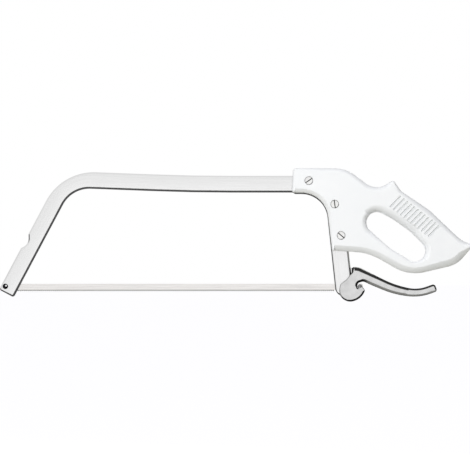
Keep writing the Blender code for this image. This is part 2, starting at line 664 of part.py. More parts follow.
def build_lever(axis):
    lever = plate("tension_lever", [lever_outline()], -LEVER_HALF, LEVER_HALF)
    for vert in lever.data.vertices:
        share = min(1.0, max(0.0, (vert.co.x - TAPER_START) / (TAPER_END - TAPER_START)))
        vert.co.y *= 1 - LEVER_TAPER * share * share * (3 - 2 * share)
    # The fork opens over the foot of the leg, whose rear edge the web follows.
    far = 2 * LOBE_RADIUS + SCROLL_RADIUS
    back = HALF_DEPTH + SEAT_GAP
    spot = turned((back - far / 2, 0), rear_lean)
    cut(lever, block("leg_fork", (far, 2 * FORK_HALF, 2 * far), (spot[0], 0, spot[1]), rear_lean))
    # It also opens over the blade's end, which lifts towards the arm as the lever opens.
    tang = tang_in_lever()
    right, roof = tang[0] + TANG_RADIUS + FORK_GAP, tang[1] + TANG_RADIUS + FORK_GAP
    cut(lever, block("tang_fork", (far, 2 * FORK_HALF, far), (right - far / 2, 0, roof - far / 2)))
    pad_low, pad_high = STOP_HEIGHTS
    pad_left = (back - pad_low * math.sin(rear_lean)) / math.cos(rear_lean)
    pad = block("stop_pad", (STOP_ROOT - pad_left, BAR_THICKNESS - 2 * SEAT_GAP, pad_high - pad_low),
                ((STOP_ROOT + pad_left) / 2, 0, (pad_low + pad_high) / 2))
    cut(lever, pad, "UNION")
    seat = LEVER_HALF - RIVET_HEAD_HEIGHT
    end = LEVER_HALF + CUT_OVER
    bore, wide = RIVET_RADIUS + FIT_GAP, RIVET_HEAD + FIT_GAP
    cut(lever, lathe("rivet_bore", [(0, -end), (wide, -end), (wide, -seat), (bore, -seat),
                                    (bore, seat), (wide, seat), (wide, end), (0, end)], 22))
    cut(lever, rod("hook_bore", HOOK_PIN_RADIUS + FIT_GAP, -end, end, LEVER_ARM, 20))
    paint(lever, "polished_cast_lever", (0.76, 0.76, 0.76), 0.22, 1.0)
    hang(lever, axis)


def build_hook_pin(axis):
    end = LEVER_HALF - HOOK_PIN_RECESS
    neck, shoulder = HOOK_PIN_RADIUS - HOOK_PIN_CHAMFER, end - HOOK_PIN_CHAMFER
    pin = lathe("blade_hook_pin", [(0, -end), (neck, -end), (HOOK_PIN_RADIUS, -shoulder),
                                   (HOOK_PIN_RADIUS, shoulder), (neck, end), (0, end)], 20)
    paint(pin, "hardened_hook_pin", (0.60, 0.60, 0.60), 0.25, 1.0)
    hang(pin, axis, *LEVER_ARM)


def build_rivets(root):
    # Two stub rivets carry the lever and leave the slit between them free for the blade.
    inner = SLIT / 2 + SEAT_GAP
    seat = LEVER_HALF - RIVET_HEAD_HEIGHT + FIT_GAP
    profile = [(0, inner), (RIVET_RADIUS, inner), (RIVET_RADIUS, seat), (RIVET_HEAD, seat),
               (RIVET_HEAD, LEVER_HALF), (0, LEVER_HALF)]
    for side, name in ((-1, "left"), (1, "right")):
        rivet = lathe(f"{name}_pivot_rivet", [(radius, side * y) for radius, y in profile], 24)
        paint(rivet, f"{name}_polished_rivet", (0.74, 0.74, 0.74), 0.22, 1.0)
        hang(rivet, root, *PIVOT)


clear_scene()
saw_root = empty("saw_root", 0, 0)
lever_axis = empty("lever_axis", *PIVOT)
lever_axis.parent = saw_root
blade_axis = empty("blade_axis", *FRONT_PIN)
blade_axis.parent = saw_root
build_frame(saw_root)
build_handle(saw_root)
build_screws(saw_root)
build_front_pin(saw_root)
build_blade(blade_axis)
build_lever(lever_axis)
build_hook_pin(lever_axis)
build_rivets(saw_root)
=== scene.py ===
import json
import math
import bmesh
import bpy
import numpy as np
from functools import partial
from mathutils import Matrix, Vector
from mathutils.geometry import delaunay_2d_cdt

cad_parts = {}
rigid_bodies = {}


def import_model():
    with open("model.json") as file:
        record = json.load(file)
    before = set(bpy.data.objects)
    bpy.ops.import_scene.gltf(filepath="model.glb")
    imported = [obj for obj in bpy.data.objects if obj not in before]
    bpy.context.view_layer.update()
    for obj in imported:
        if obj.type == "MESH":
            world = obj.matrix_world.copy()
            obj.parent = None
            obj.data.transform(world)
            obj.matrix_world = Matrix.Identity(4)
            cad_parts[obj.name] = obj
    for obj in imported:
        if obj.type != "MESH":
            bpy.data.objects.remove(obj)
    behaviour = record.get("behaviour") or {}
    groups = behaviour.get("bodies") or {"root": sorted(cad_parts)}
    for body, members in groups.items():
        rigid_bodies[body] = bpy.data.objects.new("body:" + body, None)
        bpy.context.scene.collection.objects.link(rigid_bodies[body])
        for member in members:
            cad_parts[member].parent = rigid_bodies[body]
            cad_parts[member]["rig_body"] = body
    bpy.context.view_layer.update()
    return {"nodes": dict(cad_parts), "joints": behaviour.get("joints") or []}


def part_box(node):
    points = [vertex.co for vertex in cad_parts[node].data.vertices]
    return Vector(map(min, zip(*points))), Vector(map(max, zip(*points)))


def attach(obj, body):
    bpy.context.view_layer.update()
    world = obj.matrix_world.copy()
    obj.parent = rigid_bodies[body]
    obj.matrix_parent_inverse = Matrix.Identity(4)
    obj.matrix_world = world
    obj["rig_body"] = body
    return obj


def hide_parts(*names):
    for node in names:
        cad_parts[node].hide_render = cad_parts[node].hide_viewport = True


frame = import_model()
mm = 0.001
joints = {joint["name"]: np.array(joint["pos_m"])[[0, 2]] for joint in frame["joints"]}
pivot = joints["lever_swing"]          # places in the saw's own plane are (x, z)
frontPin = joints["blade_swing"]
hookBox = np.array(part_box("blade_hook_pin"))
hookPin = hookBox.mean(0)[[0, 2]]
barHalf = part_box("bow_frame")[1].y
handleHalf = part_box("right_handle_scale")[1].y
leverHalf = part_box("tension_lever")[1].y
print("frame read:", len(frame["nodes"]), "nodes")


# Surfaces
def hexLinear(code):
    # sRGB hex value to linear colour
    value = np.array([int(code[k:k + 2], 16) for k in (1, 3, 5)]) / 255
    linear = np.where(value <= 0.04045, value / 12.92, ((value + 0.055) / 1.055) ** 2.4)
    return (*linear.tolist(), 1.0)


def addNode(tree, kind, settings=None, links=None, out=0):
    # settings are inputs by name or number, or the node's own options; the answer is one of its outputs
    node = tree.nodes.new("ShaderNode" + kind)
    for name, value in (settings or {}).items():
        if isinstance(value, str) and value.startswith("#"):
            value = hexLinear(value)
        if isinstance(name, int) or name in node.inputs:
            node.inputs[name].default_value = value
        else:
            setattr(node, name, value)
    for name, source in (links or {}).items():
        tree.links.new(source, node.inputs[name])
    return node.outputs[out] if node.outputs else None


def clearNodes(owner):
    # empties a material or world and gives addNode for its tree
    owner.use_nodes = True
    owner.node_tree.nodes.clear()
    return partial(addNode, owner.node_tree)


def newMaterial(name, finish, settings, *choices):
    # the finish adds its patterns and gives the links of the surface
    material = bpy.data.materials.new(name)
    add = clearNodes(material)
    add("OutputMaterial", links={"Surface": add("BsdfPrincipled", settings, finish(add, *choices))})
    return material


# Shapes
def smoothStep(low, high, value):
    # 0 before low, 1 past high, 3 s^2 - 2 s^3 of the share s between
    share = np.clip((value - low) / (high - low), 0, 1)
    return share * share * (3 - 2 * share)


def direction(degrees):
    # cosine and sine, an angle up from +X
    return np.array([math.cos(math.radians(degrees)), math.sin(math.radians(degrees))])


def unit(rows):
    # each row made one long
    return rows / np.maximum(np.linalg.norm(rows, axis=1), 1e-12)[:, None]


def arc(centre, radius, start, end, steps, edges):
    # points on a circle, angles in degrees, edge rounding from one end to the other
    t = np.radians(np.linspace(start, end, steps + 1))
    rounding = np.linspace(*edges, steps + 1)
    return np.column_stack((centre[0] + radius * np.cos(t), centre[1] + radius * np.sin(t), 0 * t, rounding))


def ring(centre, radius, edge, count=48):
    # full circle as an outline (x, z, edge)
    return arc(centre, radius, 0, 360 - 360 / count, count - 1, (edge, edge))[:, [0, 1, 3]]


def filletLoop(corners, turn=3.0):
    # closed outline (x, z, edge): each corner (x, z, radius, edge) gives way to an arc that touches both sides,
    # with a point about every turn degrees
    corners = np.array(corners, float)
    spot, edge = corners[:, :2], corners[:, 3]
    before, after = np.roll(spot, 1, 0) - spot, np.roll(spot, -1, 0) - spot
    lengths = np.linalg.norm(before, axis=1), np.linalg.norm(after, axis=1)
    u, v = before / lengths[0][:, None], after / lengths[1][:, None]
    half = np.arccos(np.clip((u * v).sum(1), -1, 1)) / 2
    reach = np.minimum(corners[:, 2] / np.tan(half), 0.98 * np.minimum(*lengths))
    radius = reach * np.tan(half)
    middle = u + v
    size = np.maximum(np.linalg.norm(middle, axis=1), 1e-9)
    centre = spot + middle * (radius / np.sin(half) / size)[:, None]
    first, last = spot + u * reach[:, None] - centre, spot + v * reach[:, None] - centre
    startAngle = np.arctan2(first[:, 1], first[:, 0])
    sweep = np.arctan2(last[:, 1], last[:, 0]) - startAngle
    sweep = (sweep + math.pi) % (2 * math.pi) - math.pi
    parts = []
    for k in range(len(corners)):
        if corners[k, 2] <= 0 or half[k] > math.radians(89.9):
            parts.append([[*spot[k], edge[k]]])
            continue
        t = startAngle[k] + sweep[k] * np.linspace(0, 1, max(3, round(abs(math.degrees(sweep[k])) / turn)))
        parts.append(np.column_stack((centre[k, 0] + radius[k] * np.cos(t),
                                      centre[k, 1] + radius[k] * np.sin(t), np.full(len(t), edge[k]))))
    return np.vstack(parts)


def spreadPoints(loop, step):
    # long straight stretches of a closed outline get points at most one step apart
    after = np.roll(loop, -1, 0)
    count = np.maximum(1, np.ceil(np.linalg.norm((after - loop)[:, :2], axis=1) / step)).astype(int)
    start = np.repeat(np.arange(len(loop)), count)
    share = (np.arange(count.sum()) - np.repeat(np.cumsum(count) - count, count)) / count[start]
    return loop[start] * (1 - share[:, None]) + after[start] * share[:, None]


def sideLine(path, distance):
    # path moved to its left by a distance, corners kept sharp
    ahead = unit(np.diff(path, axis=0))
    normal = np.column_stack((-ahead[:, 1], ahead[:, 0]))
    middle = np.vstack((normal[:1], normal)) + np.vstack((normal, normal[-1:]))
    return path + distance * 2 * middle / (middle ** 2).sum(1)[:, None]


def inwardLines(loop):
    # unit inward directions of an outline that runs with the material on its left, lengthened at corners
    ahead = unit(np.roll(loop, -1, 0)[:, :2] - loop[:, :2])
    normal = np.column_stack((-ahead[:, 1], ahead[:, 0]))
    middle = normal + np.roll(normal, 1, 0)
    return 2 * middle / np.maximum((middle ** 2).sum(1), 0.8)[:, None]


def insideLoops(points, start, end):
    # even-odd test of points against the sides of closed outlines
    above = (start[:, 1] > points[:, 1, None]) != (end[:, 1] > points[:, 1, None])
    rise = np.where(end[:, 1] == start[:, 1], 1e-12, end[:, 1] - start[:, 1])
    cross = start[:, 0] + (points[:, 1, None] - start[:, 1]) / rise * (end[:, 0] - start[:, 0])
    return (above & (points[:, 0, None] < cross)).sum(1) % 2 == 1


def fillFlat(rings, lattice):
    # triangles between closed rings, with a lattice of inner points where the face is to bend
    points = np.vstack(rings)
    size = np.array([len(one) for one in rings])
    first = np.repeat(np.cumsum(size) - size, size)
    index = np.arange(len(points))
    sides = np.column_stack((index, first + (index - first + 1) % np.repeat(size, size)))
    start, end = points[sides[:, 0]], points[sides[:, 1]]
    if lattice:
        low, high = points.min(0), points.max(0)
        grid = np.stack(np.meshgrid(*(np.arange(a, b, lattice) for a, b in zip(low, high))), -1).reshape(-1, 2)
        grid = grid[insideLoops(grid, start, end)]
        near = np.concatenate([((part[:, None] - points) ** 2).sum(2).min(1)
                               for part in np.array_split(grid, max(1, len(grid) // 500))])
        points = np.vstack((points, grid[near > (0.5 * lattice) ** 2]))
    outlines = [part[::1 if part[0] == 0 else -1].tolist() for part in np.split(index, np.cumsum(size)[:-1])]
    found = delaunay_2d_cdt([Vector(p) for p in (points / mm).tolist()], [], outlines, 1, 1e-7, True)
    source = np.array([ids[0] for ids in found[3]])
    return points, source[np.array(found[2])[[ids == [0] for ids in found[5]]]]


def tidyFaces(piece, sharp):
    # faces turned outwards, smooth but for edges sharper than an angle in degrees
    work = bmesh.new()
    work.from_mesh(piece.data)
    bmesh.ops.recalc_face_normals(work, faces=work.faces)
    work.to_mesh(piece.data)
    work.free()
    piece.data.polygons.foreach_set("use_smooth", np.ones(len(piece.data.polygons), bool))
    piece.data.set_sharp_from_angle(angle=math.radians(sharp))


def solid(name, verts, faces, sharp=32):
    # closed body from whole arrays
    mesh = bpy.data.meshes.new(name)
    mesh.from_pydata(verts.tolist(), [], [face for part in faces for face in part.tolist()])
    piece = bpy.data.objects.new(name, mesh)
    bpy.context.scene.collection.objects.link(piece)
    tidyFaces(piece, sharp)
    return piece


def ringFaces(index):
    # quads between neighbouring rows of point numbers, each row a closed ring
    after = np.roll(index, -1, 1)
    return np.stack((index[:-1], after[:-1], after[1:], index[1:]), -1).reshape(-1, 4)


def plate(name, loops, low, high, lowEdge=None, highEdge=None, steps=8, lattice=0.0, bend=None,
          flatness=((1, 1), (1, 1)), steepness=((1, 1), (1, 1))):
    # Flat piece across Y. Ring a of outline point i lies at outline(i) + inward(i) * edge(i) * (1 - sin(a)^p) and
    # steep * edge(i) * (1 - cos(a)^p) from its face: a circle for p = steep = 1, nearer to a chamfer for more p.
    # Each outline has p (flatness) and steep for edges that look up and for edges that look down, blended between.
    # One more ring just inside keeps the flat flat in its shading.
    # An edge of None takes each point's own rounding, a number is the same all round, 0 is sharp.
    quarter, innerRing = np.linspace(0, math.pi / 2, steps + 1), 0.1 * mm
    verts, faces, ends, total = [], [], ([], []), 0
    for k, loop in enumerate(loops):
        area = (loop[:, 0] * np.roll(loop[:, 1], -1) - np.roll(loop[:, 0], -1) * loop[:, 1]).sum()
        loop = loop if (area > 0) == (k == 0) else loop[::-1]
        inward, rings = inwardLines(loop), []
        down = smoothStep(-0.3, 0.3, inward[:, 1])
        flat, steep = (up + (under - up) * down for up, under in (flatness[k], steepness[k]))
        for level, edge, side in ((low, lowEdge, 1), (high, highEdge, -1)):
            size = loop[:, 2] if edge is None else np.full(len(loop), edge)
            rounded = size.max() > 0
            turn = (quarter if rounded else quarter[-1:])[:, None]
            inset = size * (1 - np.sin(turn) ** flat)
            rise = steep * size * (1 - np.maximum(np.cos(turn), 0) ** flat)
            if rounded:
                inset, rise = np.vstack((size + innerRing, inset)), np.vstack((0 * size, rise))
            stack = np.stack((loop[:, 0] + inward[:, 0] * inset, level + side * rise,
                              loop[:, 1] + inward[:, 1] * inset), -1)
            rings.append(stack[::side])
        stack = np.vstack(rings)
        index = total + np.arange(stack.shape[0] * stack.shape[1]).reshape(stack.shape[:2])
        faces.append(ringFaces(index))
        verts.append(stack.reshape(-1, 3))
        ends[0].append(index[0])
        ends[1].append(index[-1])
        total += index.size
    verts = np.vstack(verts)
    for side, level in zip(ends, (low, high)):
        rim = np.concatenate(side)
        points, triangles = fillFlat([verts[one][:, [0, 2]] for one in side], lattice)
        extra = points[len(rim):]
        index = np.concatenate((rim, len(verts) + np.arange(len(extra))))
        verts = np.vstack((verts, np.column_stack((extra[:, 0], np.full(len(extra), level), extra[:, 1]))))
        faces.append(index[triangles])
    return solid(name, verts if bend is None else bend(verts), faces)


def cappedRings(name, grid, tips):
    # stack of closed rings, drawn together to a point at each end
    rows, count = grid.shape[:2]
    index = np.arange(rows * count).reshape(rows, count)
    fans = [np.column_stack((np.full(count, rows * count + k), index[row], np.roll(index[row], -1)))
            for k, row in ((0, 0), (1, -1))]
    return solid(name, np.vstack((grid.reshape(-1, 3), tips)), [ringFaces(index), *fans])


def lathe(name, profile, centre, turns=72):
    # turned piece: profile (radius, y), both ends on the axis, carried round a Y line by an angle t
    profile = np.array(profile, float)
    t = np.arange(turns) * 2 * math.pi / turns
    radius, y = profile[1:-1, :1], profile[1:-1, 1:]
    grid = np.stack((centre[0] + radius * np.cos(t), y + 0 * t, centre[1] + radius * np.sin(t)), -1)
    return cappedRings(name, grid, [[centre[0], profile[k, 1], centre[1]] for k in (0, -1)])


def block(name, sizes, centre, angle=0.0):
    # box turned about Y, positive angles in degrees lift its +X end
    side = np.array([[x, y, z] for x in (-1, 1) for y in (-1, 1) for z in (-1, 1)]) * np.array(sizes) / 2
    c, s = direction(angle)
    verts = np.column_stack((side[:, 0] * c - side[:, 2] * s, side[:, 1], side[:, 0] * s + side[:, 2] * c)) + centre
    faces = np.array([[0, 1, 3, 2], [4, 6, 7, 5], [0, 4, 5, 1], [2, 3, 7, 6], [0, 2, 6, 4], [1, 5, 7, 3]])
    return solid(name, verts, [faces])


def carve(piece, tools, operation="DIFFERENCE", sharp=32):
    # the tools cut the piece or join it, and the result is kept as its mesh
    for tool in tools:
        step = piece.modifiers.new(tool.name, "BOOLEAN")
        step.operation = operation
        step.solver = "MANIFOLD"
        step.object = tool
    shape = bpy.data.meshes.new_from_object(piece.evaluated_get(bpy.context.evaluated_depsgraph_get()))
    piece.modifiers.clear()
    piece.data = shape
    for tool in tools:
        bpy.data.objects.remove(tool)
    tidyFaces(piece, sharp)


def pointArray(mesh, name):
    # place or direction of every point
    values = np.empty(len(mesh.vertices) * 3)
    mesh.vertices.foreach_get(name, values)
    return values.reshape(-1, 3)


def planeMap(piece, function):
    # own map of a piece, (u, v) in metres as a function of its points
    mesh = piece.data
    corner = np.empty(len(mesh.loops), int)
    mesh.loops.foreach_get("vertex_index", corner)
    layer = mesh.uv_layers.new(name="surfaceMap")
    layer.data.foreach_set("uv", function(pointArray(mesh, "co"))[corner].ravel())


def turnedMap(piece, centre):
    # map of a turned piece, counted from its axis
    planeMap(piece, lambda spots: spots[:, [0, 2]] - centre)


def pointValue(piece, name, function):
    # a value at each point of a piece, as a function of its place and of the way that it looks
    layer = piece.data.attributes.new(name, "FLOAT", "POINT")
    layer.data.foreach_set("value", function(pointArray(piece.data, "co"), pointArray(piece.data, "normal")))


def edgeShare(spots, facing):
    # 0 on the flat sides, 1 where the surface has turned over to the edge
    return smoothStep(0.008, 0.06, 1 - abs(facing[:, 1]))


def settle(piece, node, material):
    # the piece stands for one node: it takes the material, the node is hidden and the piece goes on the node's body
    piece.data.materials.clear()
    piece.data.materials.append(material)
    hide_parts(node)
    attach(piece, frame["nodes"][node]["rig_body"])
    print(piece.name, "stands for", node, len(piece.data.polygons), "faces")


# Bent flat bar; the sizes of all pieces are in millimetres and degrees
bar = {
    "depth": 21.5, "edge": 2.8, "flatness": ((1.25, 1.25), (1, 1)), "crown": 0.3, "frontLean": 28.0, "pinAhead": 5.2,
    "foot": 7.8, "frontRise": 135.5, "frontInside": 38.0, "frontOutside": 68.9, "levelRise": 129.5, "levelRun": 212.0,
    "levelBend": 2600.0, "shoulder": 1.9, "shoulderSpan": (50.4, 47.9), "shoulderRound": 3.4, "rearRun": 34.9,
    "rearInside": 33.0, "rearOutside": 42.0, "bendAhead": 0.45, "rearFoot": 11.4, "footLift": 1.2, "footCorner": 3.1,
    "hollowRise": 62.1, "hollowSpan": 20.0, "hollowSink": 6.2, "hollowRadius": 12.0, "hollowLip": 4.0,
    "pinHole": 2.0, "holeEdge": 0.2, "slit": 1.3, "slitTop": 5.2, "slitLift": 9.0, "slitRun": 60.0, "slitDepth": 40.0,
    "mapFront": 48.0, "mapRear": 50.0, "mapPast": 11.0, "mapStep": 0.8, "turn": 2.5, "step": 3.0, "lattice": 2.6,
}
legUp = direction(90 - bar["frontLean"])
legAcross = np.array([legUp[1], -legUp[0]])
legBase = frontPin + legAcross * bar["pinAhead"] * mm
rearBend = hookPin + np.array([-bar["rearRun"], bar["levelRise"]]) * mm
spine = np.array([
    legBase - legUp * bar["foot"] * mm,
    legBase + legUp * (hookPin[1] + bar["frontRise"] * mm - legBase[1]) / legUp[1],
    [hookPin[0] - bar["levelRun"] * mm, rearBend[1]],
    rearBend,
    pivot,
])
rearDown = (pivot - rearBend) / np.linalg.norm(pivot - rearBend)
rearLean = math.degrees(math.atan2(rearDown[0], -rearDown[1]))


def bendCorner(corner, drop):
    # inner corner of the rear bend where the level line lies lower and the leg's line a little ahead
    return corner + rearDown * drop * mm / -rearDown[1] - (bar["bendAhead"] * mm, 0)


def barOutline(grow, edge, turn, hollow):
    # both sides of the bent middle line, half the depth away, rounded at each bend
    half = bar["depth"] / 2 * mm + grow
    inner, outer = sideLine(spine, -half), sideLine(spine, half)
    # the bar is deeper from the handle's front to the rear bend
    step, deep = (np.array([rearBend[0] - run * mm, inner[3][1]]) for run in bar["shoulderSpan"])
    deep[1] -= bar["shoulder"] * mm
    below = ((inner[0], "footCorner", 0), (inner[1], "frontInside", -grow), (inner[2], "levelBend", 0),
             (step, "shoulderRound", 0), (deep, "shoulderRound", 0),
             (bendCorner(inner[3], bar["shoulder"]), "rearInside", -grow))
    above = ((outer[3], "rearOutside", grow), (outer[2], "levelBend", 0), (outer[1], "frontOutside", grow))
    below, above = ([(*spot, bar[bend] * mm + more, edge) for spot, bend, more in side] for side in (below, above))
    foot = arc(pivot - rearDown * bar["footLift"] * mm, bar["rearFoot"] * mm + grow, rearLean - 180, rearLean,
               round(180 / turn), (edge, edge))
    corners = [*below, *foot, *above]
    if hollow:
        start = outer[0] + legUp * bar["foot"] * mm
        rise, span, lip = bar["hollowRise"], bar["hollowSpan"], bar["hollowLip"]
        for along, sink, radius in ((rise + span / 2, 0, lip), (rise - lip / 3, bar["hollowSink"], bar["hollowRadius"]),
                                    (rise - span / 2, 0, lip)):
            corners.append((*(start + legUp * along * mm + legAcross * sink * mm), radius * mm, edge))
    corners.append((*outer[0], bar["footCorner"] * mm, edge))
    return filletLoop(corners, turn)


def barMap(spots):
    # distance along the bar's middle line and distance across it
    end = spine[4] + rearDown * bar["mapPast"] * mm
    bends = (0, bar["mapFront"] * mm, bar["levelBend"] * mm, bar["mapRear"] * mm)
    corners = [(*spot, bend, 0) for spot, bend in zip(spine, bends)] + [(*end, 0, 0)]
    line = spreadPoints(filletLoop(corners, 1.0), bar["mapStep"] * mm)[:, :2]
    line = line[:int(np.argmin(((line - end) ** 2).sum(1))) + 1]
    along = np.concatenate(([0], np.cumsum(np.linalg.norm(np.diff(line, axis=0), axis=1))))
    ahead = unit(np.gradient(line, axis=0))
    result = []
    for part in np.array_split(spots[:, [0, 2]], max(1, len(spots) // 2000)):
        nearest = ((part[:, None] - line) ** 2).sum(2).argmin(1)
        gap = part - line[nearest]
        run = along[nearest] + (gap * ahead[nearest]).sum(1)
        result.append(np.column_stack((run, gap[:, 1] * ahead[nearest, 0] - gap[:, 0] * ahead[nearest, 1])))
    return np.vstack(result)


def crownBar(verts):
    # sides fall away from the middle line as the square of the distance across the bar
    across = barMap(verts)[:, 1] / (bar["depth"] / 2 * mm)
    fall = np.minimum(across ** 2, 1) * bar["crown"] * mm
    return np.column_stack((verts[:, 0], verts[:, 1] * (1 - fall / barHalf), verts[:, 2]))


barLoop = spreadPoints(barOutline(0.0, bar["edge"] * mm, bar["turn"], True), bar["step"] * mm)
bowBar = plate("bowBar", [barLoop, ring(frontPin, bar["pinHole"] * mm, bar["holeEdge"] * mm)], -barHalf, barHalf,
               lattice=bar["lattice"] * mm, bend=crownBar, flatness=bar["flatness"])
slitSize = np.array([bar["slitRun"], bar["slit"], bar["slitDepth"]]) * mm
slitRise = (bar["foot"] + bar["slitLift"] + bar["slitTop"] / legUp[1]) * mm - slitSize[2] / 2
slitSpot = spine[0] + legUp * slitRise
frontSlit = block("frontSlit", slitSize, (slitSpot[0], 0, slitSpot[1]), -bar["frontLean"])
rearSlit = block("rearSlit", slitSize, (pivot[0], 0, hookPin[1] + bar["slitTop"] * mm - slitSize[2] / 2))
carve(bowBar, [frontSlit, rearSlit])
planeMap(bowBar, barMap)
pointValue(bowBar, "edgeShare", edgeShare)
print("bar bent")

# Two handle halves and their screw seats
grip = {
    "reveal": 0.8, "lap": 0.8, "cover": 9.3, "lead": 50.0, "frontLean": 1.7, "seam": 0.3, "seamRound": 0.4,
    "flatness": ((1.25, 1.7), (1.2, 1.15)), "steepness": ((1.0, 0.82), (1.0, 1.3)), "edgeSteps": 12,
    "frontCorner": (3.0, 2.6), "crown": (-82.0, 42.0, 5.0), "legCorner": (2.2, 1.8), "bendRound": 5.0,
    "foot": -46.0, "footSpread": 2.8, "step": 3.0, "bedGap": 0.3, "bedTurn": 4.0, "sharp": 40,
    "grooveCount": 12, "groovePitch": 5.55, "grooveLength": 20.5, "grooveWidth": 2.7, "grooveDepth": 1.3,
    "grooveStart": (-19.0, 15.6), "grooveRow": -37.4, "grooveTilt": 45.0, "grooveTurns": 28,
    # corners from the middle of the grip: x, z, corner radius, edge rounding
    "outline": [
        (-43.2, 29.5, 23.0, 6.0), (-21.3, 42.9, 2.8, 2.4), (-11.5, 29.0, 8.0, 4.6), (23.8, 5.6, 60.0, 7.2),
        (64.0, -32.6, 40.0, 6.0), (79.6, -39.5, 3.0, 2.6), (59.8, -63.8, 35.0, 9.0), (-1.2, -77.9, 50.0, 7.6),
        (-51.2, -49.4, 70.0, 7.2),
    ],
    "hole": [
        (-60.2, -11.7, 13.2, 7.2), (-44.8, 6.0, 13.2, 9.6), (-22.0, -5.9, 80.0, 10.4), (0.3, -21.7, 60.0, 10.4),
        (24.6, -45.6, 13.2, 6.4), (9.7, -64.5, 13.2, 3.2), (-27.5, -42.2, 100.0, 3.0),
    ],
}
screw = {
    "head": 5.2, "headHeight": 3.2, "chamfer": 0.45, "dome": 0.12, "shank": 2.5, "shankGap": 1.5, "barrel": 3.6,
    "barrelGap": 0.6, "seatGap": 0.2, "seatDeep": 0.3, "slotWidth": 1.2, "slotDepth": 1.2, "slotRun": 30.0,
    "slotAngles": {"front": 35, "middle": 98, "lower": -40}, "nutTurn": 55,
}
past = 2 * mm                          # cutting tools stand out this far
screwNames = ("front", "middle", "lower")
screwSpots = {name: np.array(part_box(name + "_handle_screw")).mean(0)[[0, 2]] for name in screwNames}


def handleOutline():
    # from the front over the top, round spur, grip and foot, and back along the inner side of the bar
    inner = sideLine(spine, grip["reveal"] * mm - bar["depth"] / 2 * mm)
    top = rearBend[1] + (bar["depth"] / 2 + grip["cover"]) * mm
    low = inner[3][1] - grip["lap"] * mm
    front, foot, spread = rearBend[0] - grip["lead"] * mm, grip["foot"] * mm, grip["footSpread"] * mm
    leg = inner[3] + rearDown * (foot - inner[3][1]) / rearDown[1]
    corner, crown, own = (np.array(grip[key]) * mm for key in ("frontCorner", "crown", "legCorner"))
    corners = [
        (front, top, *corner),
        (crown[0], top, *crown[1:]),
        *(np.array(grip["outline"]) * mm),
        (leg[0] + spread, foot, 0, grip["outline"][-1][3] * mm),
        (*leg, *own),
        (*bendCorner(inner[3], grip["lap"]), (bar["rearInside"] + grip["reveal"]) * mm, grip["bendRound"] * mm),
        (front + spread, low, 0, grip["bendRound"] * mm),
        (front - grip["frontLean"] * mm, low, *corner),
    ]
    return spreadPoints(filletLoop(corners), grip["step"] * mm)


def grooveTools(side):
    # capsules in a slanting row: rings of radius r * sqrt(1 - s^2), at r * s from the middle of either round end
    depth, along = grip["grooveDepth"], grip["grooveLength"] / 2
    radius = (grip["grooveWidth"] ** 2 / 4 + depth ** 2) / (2 * depth)
    level = side * (handleHalf / mm + radius - depth)
    s = np.sin(np.linspace(-math.pi / 2, math.pi / 2, 25))[1:-1, None]
    t = np.arange(grip["grooveTurns"]) * 2 * math.pi / grip["grooveTurns"]
    run = np.where(s < 0, -along + radius, along - radius) + radius * s
    size = radius * np.sqrt(1 - s ** 2)
    lie, stand = direction(grip["grooveTilt"]), direction(grip["grooveTilt"] + 90)
    tools = []
    for k in range(grip["grooveCount"]):
        spot = np.array(grip["grooveStart"]) + direction(grip["grooveRow"]) * k * grip["groovePitch"]
        x, z = (spot[axis] + lie[axis] * run + stand[axis] * (size * np.cos(t)) for axis in (0, 1))
        grid = np.stack((x, level + size * np.sin(t), z), -1)
        tips = [[spot[0] + lie[0] * end, level, spot[1] + lie[1] * end] for end in (-along, along)]
        tools.append(cappedRings("groove%d" % k, grid * mm, np.array(tips) * mm))
    return tools


def grooveShare(spots, facing):
    # how far a point lies down in a grip groove, 0 outside the row of grooves
    row, lie = direction(grip["grooveRow"]), direction(grip["grooveTilt"])
    start = spots[:, [0, 2]] / mm - np.array(grip["grooveStart"])
    alongRow = (start[:, 0] * lie[1] - start[:, 1] * lie[0]) / (row[0] * lie[1] - row[1] * lie[0])
    alongLie = start @ lie - alongRow * (row @ lie)
    last = (grip["grooveCount"] - 0.5) * grip["groovePitch"]
    inside = (abs(alongLie) < grip["grooveLength"] / 2) & (alongRow > -grip["groovePitch"] / 2) & (alongRow < last)
    return inside * smoothStep(0, 0.6 * grip["grooveDepth"], (handleHalf - abs(spots[:, 1])) / mm)


scales = {}
seam = grip["seamRound"] * mm
bedHalf = barHalf + grip["bedGap"] * mm
seat = (screw["head"] + screw["seatGap"]) * mm
for side, name in ((-1, "left"), (1, "right")):
    low, high = sorted((side * grip["seam"] / 2 * mm, side * handleHalf))
    loops = [handleOutline(), spreadPoints(filletLoop(np.array(grip["hole"]) * mm), grip["step"] * mm)]
    scale = plate(name + "Scale", loops, low, high, seam if side > 0 else None, seam if side < 0 else None,
                  grip["edgeSteps"], flatness=grip["flatness"], steepness=grip["steepness"])
    bedLoop = barOutline(grip["bedGap"] * mm, 0, grip["bedTurn"], False)
    tools = [plate("bed", [bedLoop], -bedHalf, bedHalf, 0, 0)]
    floor = side * (handleHalf - (screw["headHeight"] + screw["seatDeep"]) * mm)
    end = side * (handleHalf + past)
    for spot in screwSpots.values():
        tools.append(lathe("seat", [(0, floor), (seat, floor), (seat, end), (0, end)], spot))
    carve(scale, tools + grooveTools(side), sharp=grip["sharp"])
    pointValue(scale, "grooveShare", grooveShare)
    scales[name] = scale
print("handle moulded")

